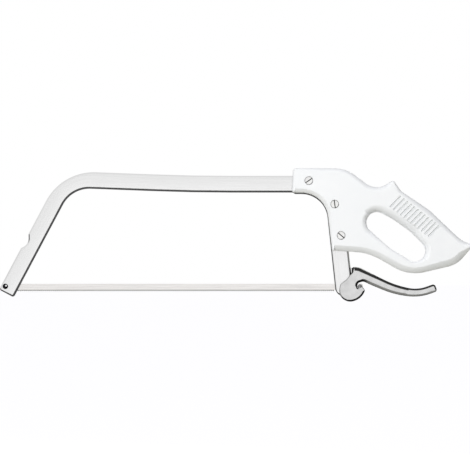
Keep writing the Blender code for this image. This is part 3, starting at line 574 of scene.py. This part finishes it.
# Slotted screws and sleeve nuts: low dome, rounded rim, then the neck
fasteners = {}
head, chamfer, dome = (screw[key] * mm for key in ("head", "chamfer", "dome"))
under = handleHalf - screw["headHeight"] * mm
t = np.linspace(0, 1, 6)
crown = np.column_stack((t * (head - chamfer), handleHalf - dome * t ** 2))
curve = np.linspace(0, math.pi / 2, 5)[1:]
rim = np.column_stack((head - chamfer + chamfer * np.sin(curve), handleHalf - dome - chamfer + chamfer * np.cos(curve)))
slotDepth = screw["slotDepth"] * mm + past
slotSize = (screw["slotRun"] * mm, slotDepth, screw["slotWidth"] * mm)
for name, spot in screwSpots.items():
    for side, kind, neck, end, turn in (
            (-1, "Screw", screw["shank"] * mm, -(under - screw["shankGap"] * mm), 0),
            (1, "Nut", screw["barrel"] * mm, barHalf + screw["barrelGap"] * mm, screw["nutTurn"])):
        profile = np.vstack((crown, rim, [(head, under), (neck, under), (neck, end), (0, end)])) * (1, side)
        piece = lathe(name + kind, profile, spot)
        middle = side * (handleHalf + past - slotDepth / 2)
        carve(piece, [block("slot", slotSize, (spot[0], middle, spot[1]), screw["slotAngles"][name] + turn)])
        turnedMap(piece, spot)
        fasteners[name + kind] = piece

# Pin through the front leg, domed on the near side
pin = {"radius": 1.8, "head": 3.45, "headHeight": 1.4, "lip": 0.35, "gap": 0.3, "endChamfer": (0.25, 0.2)}
t = np.linspace(0, math.pi / 2, 14)
head, radius, top = pin["head"] * mm, pin["radius"] * mm, barHalf + pin["gap"] * mm
dome = np.column_stack((head * np.sin(t), -top - (pin["lip"] + (pin["headHeight"] - pin["lip"]) * np.cos(t)) * mm))
narrow, early = np.array(pin["endChamfer"]) * mm
shank = [(head, -top), (radius, -top), (radius, barHalf - early), (radius - narrow, barHalf), (0, barHalf)]
bladePin = lathe("bladePin", np.vstack((dome, shank)), frontPin)
turnedMap(bladePin, frontPin)
print("screws and pin turned")

# Toothed blade
blade = {
    "depth": 9.6, "back": 3.1, "thickness": 0.7, "pitch": 2.5, "toothDepth": 1.7, "lean": 1.55, "set": 0.16,
    "tip": 0.16, "nose": 4.0, "tang": 3.8, "tangRun": 14.0, "backRound": 0.12, "pinHole": 2.0,
    "noseTurn": (190, 300, 17), "tangTurn": (-90, -10, 13), "plainColumns": 9, "tailColumns": 12,
    "rows": (0.0, 0.16, 0.4, 0.7, 1.0), "slotX": (-14.2, 1.7), "slotZ": (-1.95, 2.35), "slotRound": 1.9, "sharp": 20,
}


def bladeGrid():
    # columns along the blade, at every root and tip; rows from the tooth line to the back, then over to the far side
    back, nose, tang = blade["back"], blade["nose"], blade["tang"]
    tip = back - blade["depth"]
    gullet = tip + blade["toothDepth"]
    length = (hookPin[0] - frontPin[0]) / mm
    lean = math.tan(math.radians(bar["frontLean"]))
    start = (bar["depth"] / 2 + bar["pinAhead"]) / legUp[1] + tip * lean
    edge = sideLine(spine, -bar["rearFoot"] * mm)[4]
    stop = (edge[0] + (frontPin[1] + tip * mm - edge[1]) * rearDown[0] / rearDown[1] - frontPin[0]) / mm
    count = int((stop - start) / blade["pitch"])
    roots = start + blade["pitch"] * np.arange(count + 1)
    noseX = nose * np.cos(np.radians(np.linspace(*blade["noseTurn"])))
    tangX = length + tang * np.cos(np.radians(np.linspace(*blade["tangTurn"])))
    plain = np.linspace(noseX[-1], start, blade["plainColumns"])[1:-1]
    tail = np.linspace(roots[-1], length, blade["tailColumns"])[1:-1]
    # roots and tips in turn; the tips are set to the near and the far side by turns
    teeth, side = np.repeat(roots, 2)[:-1], np.zeros(2 * count + 1)
    teeth[1::2] += blade["lean"]
    side[1::2] = np.where(np.arange(count) % 2, 1, -1)
    x = np.concatenate((noseX, plain, teeth, tail, tangX))
    side = np.concatenate((np.zeros(len(noseX) + len(plain)), side, np.zeros(len(tail) + len(tangX))))
    isTip = side != 0
    noseHalf = np.sqrt(nose ** 2 - np.clip(-x, 0, nose) ** 2)
    tangHalf = np.sqrt(tang ** 2 - np.clip(x - length, 0, tang) ** 2)
    low = np.where(isTip, tip, gullet)
    low = np.where(x < 0, np.maximum(gullet, -noseHalf), low)
    low = np.where(x > length - blade["tangRun"], np.maximum(gullet, -tangHalf), low)
    high = np.where(x > length, np.minimum(back, tangHalf), back)
    high = np.where(x < 0, np.minimum(back, noseHalf), high)
    rows = low + (high - low) * np.array(blade["rows"])[:, None]
    rows[-1] -= np.minimum(blade["backRound"], (high - low) / 8)
    rows = np.vstack((rows, np.minimum(high, rows[-1] + blade["backRound"])))
    half = blade["thickness"] / 2
    thick, shift = np.full(rows.shape, half), np.zeros(rows.shape)
    thick[0] = np.where(isTip, blade["tip"], half)
    thick[-1] = half - blade["backRound"]
    shift[0] = side * blade["set"]
    near, far = (np.stack((x + 0 * rows, shift + way * thick, rows), -1) for way in (-1, 1))
    sheet = np.vstack((near, far[::-1]))
    count = len(sheet)
    index = np.arange(count * len(x)).reshape(count, len(x))
    after = np.roll(index, -1, 0)
    around = np.stack((index[:, :-1], index[:, 1:], after[:, 1:], after[:, :-1]), -1).reshape(-1, 4)
    ladder = np.arange(count // 2 - 1)
    caps = [np.stack((index[ladder, col], index[ladder + 1, col], index[count - 2 - ladder, col],
                      index[count - 1 - ladder, col]), -1) for col in (0, -1)]
    return sheet.reshape(-1, 3) * mm + np.array([frontPin[0], 0, frontPin[1]]), [around, *caps]


sawBlade = solid("sawBlade", *bladeGrid(), sharp=blade["sharp"])
slotCorners = [(hookPin[0] + blade["slotX"][i] * mm, hookPin[1] + blade["slotZ"][k] * mm, blade["slotRound"] * mm, 0)
               for i, k in ((0, 0), (1, 0), (1, 1), (0, 1))]
slotTool = plate("hookSlot", [filletLoop(slotCorners, 6)], -past, past, 0, 0)
noseTool = plate("noseHole", [ring(frontPin, blade["pinHole"] * mm, 0)], -past, past, 0, 0)
carve(sawBlade, [slotTool, noseTool], sharp=blade["sharp"])
print("blade cut")

# Cast scroll lever, a fork over the foot of the leg
lever = {
    "edge": 2.6, "eyeEdge": 1.1, "sharpEdge": 0.8, "footEdge": 2.0, "flatness": [(1.4, 1.4)],
    "taper": 0.28, "taperStart": 30.0, "taperEnd": 118.0, "lobe": (7.9, -2.95), "lobeRadius": 13.9,
    "scrollRadius": 21.0, "lobeAngles": (168, 280, 338), "lip": (5.6, -4.4), "lipCorner": (0.7, 0.5),
    "eyeRadius": 2.7, "eyeDrop": 0.3, "eyeAngles": (-5, 208), "eyeFoot": (-3.4, -2.9), "eyeCorner": 0.9,
    # corners from the pivot: x, z, corner radius, edge rounding
    "heel": [(10.9, 26.8, 2.0, 1.8), (10.7, 20.7, 1.5, 1.0), (3.4, 11.4, 10.0, 0.8), (-4.6, 5.4, 6.0, 0.8)],
    "tail": [(16.9, 7.0, 4.0, 3.2), (24.6, 8.3, 5.0, 3.8), (62.6, -7.7, 115.0, 3.4), (96.0, -12.0, 64.0, 2.7),
             (118.4, -3.6, 3.2, 2.3), (115.0, 5.6, 3.2, 2.3), (93.7, -2.0, 42.0, 2.4), (64.6, 3.8, 130.0, 3.4),
             (17.9, 27.4, 18.0, 4.9)],
    "step": 1.5, "lattice": 1.2, "forkGap": 0.4, "forkReach": 50.0, "legGap": 0.3, "tangFork": (30.4, 14.0),
    "pad": (18.6, 26.0, 14.0), "padGap": 0.3, "padStep": 0.5,
    # where the painted dark edge shade starts and is full: from the pivot, along x or z, from the eye and past the pad;
    # then by the way the edge looks, up or down, and by how far it looks to the leg
    "rivetClear": (3.9, 4.2), "armSkin": (24, 34), "heelSkin": (17, 18.6), "eyeSkin": (3.6, 3.0),
    "padSkin": (1.4, 1.8), "underSkin": (22, 28), "skinUp": (-0.1, 0.35), "skinDown": (0.1, -0.3),
    "skinLeg": (0.25, 0.75), "legBare": 0.8, "eyeBare": 0.6,
}
rivet = {"head": 3.6, "height": 1.2, "shank": 2.6, "lift": 0.2, "headGap": 0.005, "shankGap": 0.06}
hook = {"radius": 1.5, "gap": 0.06, "rounding": 0.4}


def leverOutline():
    # heel, round lobe, wider scroll, lip, eye, crook and arm, in millimetres from the pivot
    lobe, radius, wideRadius = np.array(lever["lobe"]), lever["lobeRadius"], lever["scrollRadius"]
    startAngle, wideAngle, endAngle = lever["lobeAngles"]
    wide = lobe + direction(wideAngle) * (radius - wideRadius)
    eye = (hookPin - pivot) / mm
    edge, eyeEdge = lever["edge"], lever["eyeEdge"]
    return filletLoop([
        *lever["heel"],
        *arc(lobe, radius, startAngle, wideAngle, 40, (lever["sharpEdge"], edge)),
        *arc(wide, wideRadius, wideAngle, endAngle, 18, (edge, edge))[1:],
        (*(eye + lever["lip"]), *lever["lipCorner"]),
        *arc(eye - (0, lever["eyeDrop"]), lever["eyeRadius"], *lever["eyeAngles"], 48, (eyeEdge, eyeEdge)),
        (*(eye + lever["eyeFoot"]), lever["eyeCorner"], lever["footEdge"]),
        *lever["tail"],
    ])


def taperArm(verts):
    # thickness falls by a smooth step from the scroll to the tip
    share = smoothStep(lever["taperStart"], lever["taperEnd"], (verts[:, 0] - pivot[0]) / mm)
    return np.column_stack((verts[:, 0], verts[:, 1] * (1 - lever["taper"] * share), verts[:, 2]))


leverLoop = leverOutline() * mm
leverLoop[:, :2] += pivot
tensionLever = plate("tensionLever", [spreadPoints(leverLoop, lever["step"] * mm)], -leverHalf, leverHalf,
                     lattice=lever["lattice"] * mm, bend=taperArm, flatness=lever["flatness"])
forkHalf = barHalf + lever["forkGap"] * mm
back, far = bar["rearFoot"] + lever["legGap"], lever["forkReach"]
legSpot = pivot + direction(rearLean) * (back - far / 2) * mm
legFork = block("legFork", (far * mm, 2 * forkHalf, 2 * far * mm), (legSpot[0], 0, legSpot[1]), rearLean)
tangX, tangZ = pivot + (np.array(lever["tangFork"]) - far / 2) * mm
tangFork = block("tangFork", (far * mm, 2 * forkHalf, far * mm), (tangX, 0, tangZ))
end = leverHalf + past
seat = leverHalf - rivet["height"] * mm
wideBore, bore = (rivet["head"] + rivet["headGap"]) * mm, (rivet["shank"] + rivet["shankGap"]) * mm
rivetBore = lathe("rivetBore", [(0, -end), (wideBore, -end), (wideBore, -seat), (bore, -seat), (bore, seat),
                                (wideBore, seat), (wideBore, end), (0, end)], pivot)
eyeBore = (hook["radius"] + hook["gap"]) * mm
hookBore = lathe("hookBore", [(0, -end), (eyeBore, -end), (eyeBore, end), (0, end)], hookPin)
padLow, padHigh, padRoot = lever["pad"]
padLeft = (back - padLow * math.sin(math.radians(rearLean))) / math.cos(math.radians(rearLean))
padLoop = np.array([(padLeft, padLow, 0), (padRoot, padLow, 0), (padRoot, padHigh, 0), (padLeft, padHigh, 0)]) * mm
padLoop[:, :2] += pivot
padHalf, padStep = barHalf - lever["padGap"] * mm, lever["padStep"] * mm
pad = plate("stopPad", [spreadPoints(padLoop, padStep)], -padHalf, padHalf, 0, 0, lattice=padStep)
carve(tensionLever, [legFork, tangFork])
carve(tensionLever, [pad], "UNION")
carve(tensionLever, [rivetBore, hookBore])


def leverEdge(spots, facing):
    # the sides run on unbroken over the flush rivets
    return edgeShare(spots, facing) * smoothStep(*lever["rivetClear"], np.hypot(*(spots[:, [0, 2]] - pivot).T) / mm)


def edgeShadeShare(spots, facing):
    # painted dark reflection and shade: none on the ground sides, thick on edges that look up, under the round end and
    # in the crook, thin round the eye and on the edge next to the leg, full inside the fork but for the pad
    reach = np.maximum(np.hypot(facing[:, 0], facing[:, 2]), 1e-6)
    right, up = facing[:, 0] / reach, facing[:, 2] / reach
    place = (spots[:, [0, 2]] - pivot) / mm
    arm = smoothStep(*lever["armSkin"], place[:, 0])
    heel = smoothStep(*lever["heelSkin"], place[:, 1])
    eye = smoothStep(*lever["eyeSkin"], np.hypot(*(spots[:, [0, 2]] - hookPin).T) / mm)
    onArm = smoothStep(*lever["skinUp"], up)
    onEnd = 1 - lever["legBare"] * smoothStep(*lever["skinLeg"], 0.45 * up - 0.9 * right)
    share = leverEdge(spots, facing) * np.maximum(arm * onArm + (1 - arm) * onEnd, heel) * (1 - lever["eyeBare"] * eye)
    inside = abs(spots[:, 1]) < forkHalf + 0.05 * mm
    forked = 1 - heel * smoothStep(*(padLeft + np.array(lever["padSkin"])), place[:, 0])
    return np.where(inside, forked, share)


def underShadeShare(spots, facing):
    # painted grey shade on the edge that looks down, from the crook to the tip
    reach = np.maximum(np.hypot(facing[:, 0], facing[:, 2]), 1e-6)
    down = smoothStep(*lever["skinDown"], facing[:, 2] / reach)
    return leverEdge(spots, facing) * down * smoothStep(*lever["underSkin"], (spots[:, 0] - pivot[0]) / mm)


# painted shade: the lever's edges and the inside of its fork are made dark, and the edge underneath grey
pointValue(tensionLever, "edgeShare", leverEdge)
pointValue(tensionLever, "castSkin", edgeShadeShare)
pointValue(tensionLever, "blastedSkin", underShadeShare)

# Hook pin with rounded ends, and the two stub rivets
hookEnd = hookBox[1][1]
t = np.linspace(0, math.pi / 2, 6)
cap = np.column_stack((hook["radius"] * mm * np.sin(t), hookEnd - hook["rounding"] * mm * (1 - np.cos(t))))
hookPiece = lathe("hookPin", np.vstack((cap, cap[::-1] * (1, -1))), hookPin)
turnedMap(hookPiece, hookPin)
rivets = {}
head, neck = rivet["head"] * mm, rivet["shank"] * mm
for side, name in ((-1, "left"), (1, "right")):
    inner = np.array(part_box(name + "_pivot_rivet"))[:, 1]
    inner = inner[np.argmin(abs(inner))]
    face, under = side * leverHalf, side * (seat + rivet["lift"] * mm)
    rivets[name] = lathe(name + "Rivet", [(0, face), (head, face), (head, under), (neck, under), (neck, inner),
                                          (0, inner)], pivot)
    turnedMap(rivets[name], pivot)
print("lever cast")


# Materials
noiseSpan = {"From Min": 0.3, "From Max": 0.7}    # where a noise pattern mostly lies


def satinSteel(add):
    # stainless bar with both sides belt-ground along its length: long soft streaks on the sides, smooth bright edges
    # real grinding lines are about 0.1 mm wide, drawn 1.3 mm and 0.4 mm wide so that they show
    along = add("UVMap", {"uv_map": "surfaceMap"})
    edge = add("Attribute", {"attribute_name": "edgeShare"}, out="Fac")
    drawn = add("Mapping", {"Scale": (1 / 60, 1, 1)}, {"Vector": along})       # lines 60 times as long as wide
    streak, fine, smudge = (add("TexNoise", {"Scale": 1 / (size * mm), "Detail": detail}, {"Vector": spot})
                            for size, detail, spot in ((1.3, 1.0, drawn), (0.4, 2.0, drawn), (35, 3.0, along)))
    tone = add("Mix", {"data_type": "RGBA", 6: "#FAFAFA", 7: "#EFEFEF"}, {0: streak}, 2)
    ground = add("MapRange", {**noiseSpan, "To Min": 0.13, "To Max": 0.23}, {"Value": fine})
    wearAndHighlight = add("Math", {"operation": "MULTIPLY_ADD", 1: 0.08}, {0: smudge, 2: ground})
    gloss = add("Mix", {"data_type": "FLOAT", 3: 0.1}, {0: edge, 2: wearAndHighlight})
    bump = add("Bump", {"Strength": 0.15, "Distance": 0.02 * mm}, {"Height": fine})
    return {"Base Color": tone, "Roughness": gloss, "Normal": bump}


def rolledSteel(add):
    # cold rolled spring strip: bright warm sides with roll lines; the teeth dark grey with cross marks, the dark grey a
    # painted shade of the set teeth
    # roll lines and marks are finer than 0.1 mm, drawn 0.9 mm and 0.6 mm wide so that they show
    place = add("TexCoord", out="Object")
    drawn = add("Mapping", {"Scale": (1 / 40, 1, 1)}, {"Vector": place})       # lines 40 times as long as wide
    line, mark = (add("TexNoise", {"Scale": 1 / (size * mm), "Detail": detail}, {"Vector": spot})
                  for size, detail, spot in ((0.9, 2.0, drawn), (0.6, 1.0, place)))
    height = add("SeparateXYZ", links={0: place}, out="Z")
    root = frontPin[1] + (blade["back"] - blade["depth"] + blade["toothDepth"]) * mm
    # painted shade: the teeth below the gullet line are coloured dark grey
    teeth = add("MapRange", {"From Min": root + 0.5 * mm, "From Max": root - 0.1 * mm}, {"Value": height})
    side = add("Mix", {"data_type": "RGBA", 6: "#F5F3F1", 7: "#EAE7E5"}, {0: line}, 2)
    ground = add("Mix", {"data_type": "RGBA", 6: "#82817D", 7: "#5E5D5A"}, {0: mark}, 2)
    tone = add("Mix", {"data_type": "RGBA"}, {0: teeth, 6: side, 7: ground}, 2)
    gloss = add("MapRange", {**noiseSpan, "To Min": 0.16, "To Max": 0.28}, {"Value": line})
    bump = add("Bump", {"Strength": 0.15, "Distance": 0.02 * mm}, {"Height": line})
    return {"Base Color": tone, "Roughness": gloss, "Normal": bump}


def castSteel(add):
    # cast stainless lever: buffed sides with faint cloudy waves; painted dark reflection and shade on its edges and
    # inside the fork, and a painted grey shade on the edge underneath, neither of them metallic, both with a sandy
    # grain; real sand grain is about 0.3 mm, drawn 0.8 mm so that it shows
    place = add("TexCoord", out="Object")
    # painted dark reflection and shade on the edges, painted grey shade on the edge underneath; neither is metallic
    edge, skin, downShade = (add("Attribute", {"attribute_name": share}, out="Fac")
                           for share in ("edgeShare", "castSkin", "blastedSkin"))
    cloud, sand = (add("TexNoise", {"Scale": 1 / (size * mm), "Detail": detail}, {"Vector": place})
                   for size, detail in ((9, 3.0), (0.8, 2.0)))
    buffed = add("Mix", {"data_type": "RGBA", 6: "#E2E2E2", 7: "#D0D0D0"}, {0: cloud}, 2)
    paintedDark = add("Mix", {"data_type": "RGBA", 6: "#0C0C0C", 7: "#181818"}, {0: sand}, 2)
    under = add("Mix", {"data_type": "RGBA", 7: "#8E8E8E"}, {0: downShade, 6: buffed}, 2)
    tone = add("Mix", {"data_type": "RGBA"}, {0: skin, 6: under, 7: paintedDark}, 2)
    paintedShare = add("Math", {"operation": "MAXIMUM"}, {0: skin, 1: downShade})
    unpaintedShare = add("Math", {"operation": "SUBTRACT", 0: 1.0}, {1: paintedShare})
    bright = add("MapRange", {**noiseSpan, "To Min": 0.14, "To Max": 0.24}, {"Value": cloud})
    dull = add("MapRange", {**noiseSpan, "To Min": 0.4, "To Max": 0.55}, {"Value": sand})
    gloss = add("Mix", {"data_type": "FLOAT"}, {0: edge, 2: bright, 3: dull})
    grain = add("Math", {"operation": "MULTIPLY"}, {0: sand, 1: edge})
    bump = add("Bump", {"Strength": 0.3, "Distance": 0.05 * mm}, {"Height": grain})
    return {"Base Color": tone, "Metallic": unpaintedShare, "Roughness": gloss, "Normal": bump}


def turnedMetal(add, pale, deep, rough, face=None, rim=None):
    # lathe-turned head or pin: fine tool rings about its axis, 0.2 mm apart, drawn 0.8 mm so that they show; a head
    # that sits in a seat is painted dark in its slot and in a ring round its rim, painted shade of these recesses
    turned = add("UVMap", {"uv_map": "surfaceMap"})
    place = add("TexCoord", out="Object")
    # a wave of scale 1 has its rings 0.1 pi apart
    rings = add("TexWave", {"wave_type": "RINGS", "rings_direction": "SPHERICAL", "Distortion": 0.6,
                            "Scale": 0.1 * math.pi / (0.8 * mm)}, {"Vector": turned}, "Fac")
    tarnish = add("TexNoise", {"Scale": 1 / (2.5 * mm), "Detail": 3.0}, {"Vector": place})
    tone = add("Mix", {"data_type": "RGBA", 6: pale, 7: deep}, {0: tarnish}, 2)
    gloss = add("MapRange", {"To Min": rough, "To Max": rough + 0.1}, {"Value": rings})
    # painted shade: the floor of the slot and a ring round the rim are made dark
    if face:
        across = add("SeparateXYZ", links={0: place}, out="Y")
        level = add("Math", {"operation": "ABSOLUTE"}, {0: across})
        slot = add("MapRange", {"From Min": face - 0.35 * mm, "From Max": face - 0.9 * mm}, {"Value": level})
        reach = add("VectorMath", {"operation": "LENGTH"}, {0: turned}, "Value")
        seam = add("MapRange", {"From Min": rim - 0.75 * mm, "From Max": rim - 0.25 * mm, "To Max": 0.55},
                   {"Value": reach})
        recessShade = add("Math", {"operation": "MAXIMUM"}, {0: slot, 1: seam})
        tone = add("Mix", {"data_type": "RGBA", 7: "#3C3B37"}, {0: recessShade, 6: tone}, 2)
        gloss = add("Mix", {"data_type": "FLOAT", 3: 0.6}, {0: recessShade, 2: gloss})
    bump = add("Bump", {"Strength": 0.2, "Distance": 0.02 * mm}, {"Height": rings})
    return {"Base Color": tone, "Roughness": gloss, "Normal": bump}


def highlightedPin(add):
    # polished blued steel: near black, with a bright ragged patch a little off the middle of its crown, a painted
    # highlight
    place = add("TexCoord", out="Object")
    turned = add("UVMap", {"uv_map": "surfaceMap"})
    away = add("VectorMath", {"operation": "DISTANCE", 1: (1.0 * mm, 0.8 * mm, 0)}, {0: turned}, "Value")
    patch = add("TexNoise", {"Scale": 1 / (2.6 * mm), "Detail": 2.0}, {"Vector": place})
    ragged = add("Math", {"operation": "MULTIPLY_ADD", 1: 1.6 * mm}, {0: patch, 2: away})
    # painted highlight: a bright spot a little off the middle of the crown
    wearAndHighlight = add("MapRange", {"From Min": 2.0 * mm, "From Max": 1.7 * mm}, {"Value": ragged})
    tone = add("Mix", {"data_type": "RGBA", 6: "#1E1E20", 7: "#F2F2F2"}, {0: wearAndHighlight}, 2)
    gloss = add("MapRange", {"To Min": 0.1, "To Max": 0.22}, {"Value": patch})
    bump = add("Bump", {"Strength": 0.1, "Distance": 0.02 * mm}, {"Height": patch})
    return {"Base Color": tone, "Roughness": gloss, "Normal": bump}


def mouldedPlastic(add):
    # injection moulded polypropylene: even cool white, satin spark-eroded skin, faintly rubbed by hands, grey painted
    # shade in the grip grooves; the real skin is about 0.1 mm fine, drawn 0.5 mm so that it shows
    place = add("TexCoord", out="Object")
    grooveShade = add("Attribute", {"attribute_name": "grooveShare"}, out="Fac")
    skin, rub = (add("TexNoise", {"Scale": 1 / (size * mm), "Detail": detail}, {"Vector": place})
                 for size, detail in ((0.5, 2.0), (28, 4.0)))
    clean = add("Mix", {"data_type": "RGBA", 6: "#F7F8FB", 7: "#F2F4F8"}, {0: rub}, 2)
    # painted shade: the grip grooves are coloured grey by how deep the point lies
    tone = add("Mix", {"data_type": "RGBA", 7: "#DADCDE"}, {0: grooveShade, 6: clean}, 2)
    gloss = add("MapRange", {**noiseSpan, "To Min": 0.4, "To Max": 0.54}, {"Value": rub})
    bump = add("Bump", {"Strength": 0.12, "Distance": 0.05 * mm}, {"Height": skin})
    return {"Base Color": tone, "Roughness": gloss, "Normal": bump}


metal = {"Metallic": 1.0}
leverSteel = newMaterial("buffed cast stainless", castSteel, {})
nickel = newMaterial("turned nickel plated brass", turnedMetal, metal, "#FAFAF9", "#EFEFEE", 0.14, handleHalf,
                     screw["head"] * mm)
hookSteel = newMaterial("hardened ground pin", turnedMetal, metal, "#9C9C9C", "#848484", 0.16)
plastic = newMaterial("injection moulded polypropylene", mouldedPlastic, {"IOR": 1.49})
settle(bowBar, "bow_frame", newMaterial("belt ground stainless bar", satinSteel, metal))
for name, piece in scales.items():
    settle(piece, name + "_handle_scale", plastic)
for name in screwNames:
    settle(fasteners[name + "Screw"], name + "_handle_screw", nickel)
    settle(fasteners[name + "Nut"], name + "_sleeve_nut", nickel)
settle(bladePin, "front_blade_pin", newMaterial("blued steel pin", highlightedPin, metal))
settle(sawBlade, "saw_blade", newMaterial("cold rolled blade strip", rolledSteel, metal))
settle(tensionLever, "tension_lever", leverSteel)
settle(hookPiece, "blade_hook_pin", hookSteel)
for name, piece in rivets.items():
    settle(piece, name + "_pivot_rivet", leverSteel)

# Studio: pale floor far below, white surround, soft light from the front, camera straight from the side
# its width, centre and floor level are in millimetres, the rest in metres
studio = {
    "width": 596.6, "centre": (-221.8, -26.4), "lens": 180.0, "sensor": 36.0, "farthest": 50.0,
    "keyPower": {1: 32.0, -1: 29.0}, "keySize": (1.4, 1.0), "keySpot": (-0.7, -2.0, 0.5), "level": 0.2,
    "floor": -520.0, "floorReach": 20.0, "floorGlow": 0.87,
    # surround: directions that the light is measured along, and ranges from low, high to low, high
    "front": (0, 0.9, 0), "wallLean": (-0.6, 0, 1), "gapLean": (-1.2, 0, 0.9), "behind": (0, 1.1, 0),
    "flagAside": (-0.55, 0, 0), "band": (1.1, 0.2),
    "walls": (-0.13, 0.13, 1.09, 0.86), "flags": (-0.42, -0.05, 0.08, 0.78), "wallEdge": (0.6, 0.72, 0, 1),
}
scene = bpy.context.scene
camera = bpy.data.objects.new("camera", bpy.data.cameras.new("camera"))
scene.collection.objects.link(camera)
camera.data.lens = studio["lens"]
camera.data.sensor_width = studio["sensor"]
camera.data.clip_end = studio["farthest"]
distance = studio["width"] * mm / studio["sensor"] * studio["lens"]
camera.location = (studio["centre"][0] * mm, -distance, studio["centre"][1] * mm)
camera.rotation_euler = (math.pi / 2, 0, 0)
scene.camera = camera
scene.view_settings.view_transform = "Standard"

world = bpy.data.worlds.new("studio surround")
scene.world = world
add = clearNodes(world)
towards = add("TexCoord", out="Generated")
folded = add("VectorMath", {"operation": "ABSOLUTE"}, {0: towards})
squared = add("VectorMath", {"operation": "MULTIPLY"}, {0: towards, 1: towards})
front, lean, gap, behind, aside = (
    add("VectorMath", {"operation": "DOT_PRODUCT", 1: studio[way]}, {0: source}, "Value")
    for way, source in (("front", squared), ("wallLean", towards), ("gapLean", towards), ("behind", towards),
                        ("flagAside", folded)))
across = add("SeparateXYZ", links={0: folded}, out="Y")
up = add("SeparateXYZ", links={0: towards}, out="Z")
# soft light: strongest from before and behind, by the square of the way across
level = add("Math", {"operation": "ADD", 1: studio["level"]}, {0: front})
# what metal mirrors: pale walls before and behind, a little greyer up and left; dark flags below and on the right
rise = add("Math", {"operation": "ADD"}, {0: aside, 1: up})
before = add("Math", {"operation": "ADD"}, {0: across, 1: gap})
times, plus = studio["band"]
band = add("Math", {"operation": "MULTIPLY_ADD", 1: times, 2: plus}, {0: across})
facing = add("Math", {"operation": "MINIMUM"}, {0: before, 1: band})
nearer = add("Math", {"operation": "MAXIMUM"}, {0: facing, 1: behind})
walls, flags, wallShare = (
    add("MapRange", dict(zip(("From Min", "From Max", "To Min", "To Max"), studio[part])), {"Value": source})
    for part, source in (("walls", lean), ("flags", rise), ("wallEdge", nearer)))
mirrored = add("Mix", {"data_type": "FLOAT"}, {0: wallShare, 2: flags, 3: walls})
toCamera, glossy, through = (add("LightPath", out="Is %s Ray" % kind)
                             for kind in ("Camera", "Glossy", "Transmission"))
seen = add("Math", {"operation": "MAXIMUM"}, {0: glossy, 1: through})
white = add("Background", {"Color": "#FFFFFF", "Strength": 1.0})
soft = add("Background", {"Color": "#FFFFFF"}, {"Strength": level})
sheen = add("Background", {"Color": "#FFFFFF"}, {"Strength": mirrored})
lighting = add("MixShader", links={0: seen, 1: soft, 2: sheen})
surround = add("MixShader", links={0: toCamera, 1: lighting, 2: white})
add("OutputWorld", links={"Surface": surround})

for side in (1, -1):                   # one softbox before the saw, its twin behind
    key = bpy.data.objects.new("softbox", bpy.data.lights.new("softbox", "AREA"))
    scene.collection.objects.link(key)
    key.data.shape = "RECTANGLE"
    key.data.size, key.data.size_y = studio["keySize"]
    key.data.energy = studio["keyPower"][side]
    aim = Vector((studio["centre"][0] * mm, 0, 0))
    key.location = aim + Vector(studio["keySpot"]) * Vector((side, side, 1))
    key.rotation_euler = (aim - key.location).to_track_quat("-Z", "Y").to_euler()
    key.visible_glossy = False

# pale matt floor that keeps the saw's shadow and glows only for the camera
floorMesh = bpy.data.meshes.new("floor")
floorCorners = np.array([(-1, -1, 0), (1, -1, 0), (1, 1, 0), (-1, 1, 0)]) * studio["floorReach"]
floorMesh.from_pydata((floorCorners + (0, 0, studio["floor"] * mm)).tolist(), [], [(0, 1, 2, 3)])
floor = bpy.data.objects.new("floor", floorMesh)
scene.collection.objects.link(floor)
floorPaint = bpy.data.materials.new("pale matt floor")
add = clearNodes(floorPaint)
toCamera = add("LightPath", out="Is Camera Ray")
matt = add("BsdfDiffuse", {"Color": "#A6A597"})
glow = add("Emission", {"Color": (0.95, 0.95, 1, 1), "Strength": studio["floorGlow"]})
dark = add("Emission", {"Strength": 0.0})
shown = add("MixShader", links={0: toCamera, 1: dark, 2: glow})
both = add("AddShader", links={0: matt, 1: shown})
add("OutputMaterial", links={"Surface": both})
floorMesh.materials.append(floorPaint)
floor.visible_glossy = False
print("studio set")
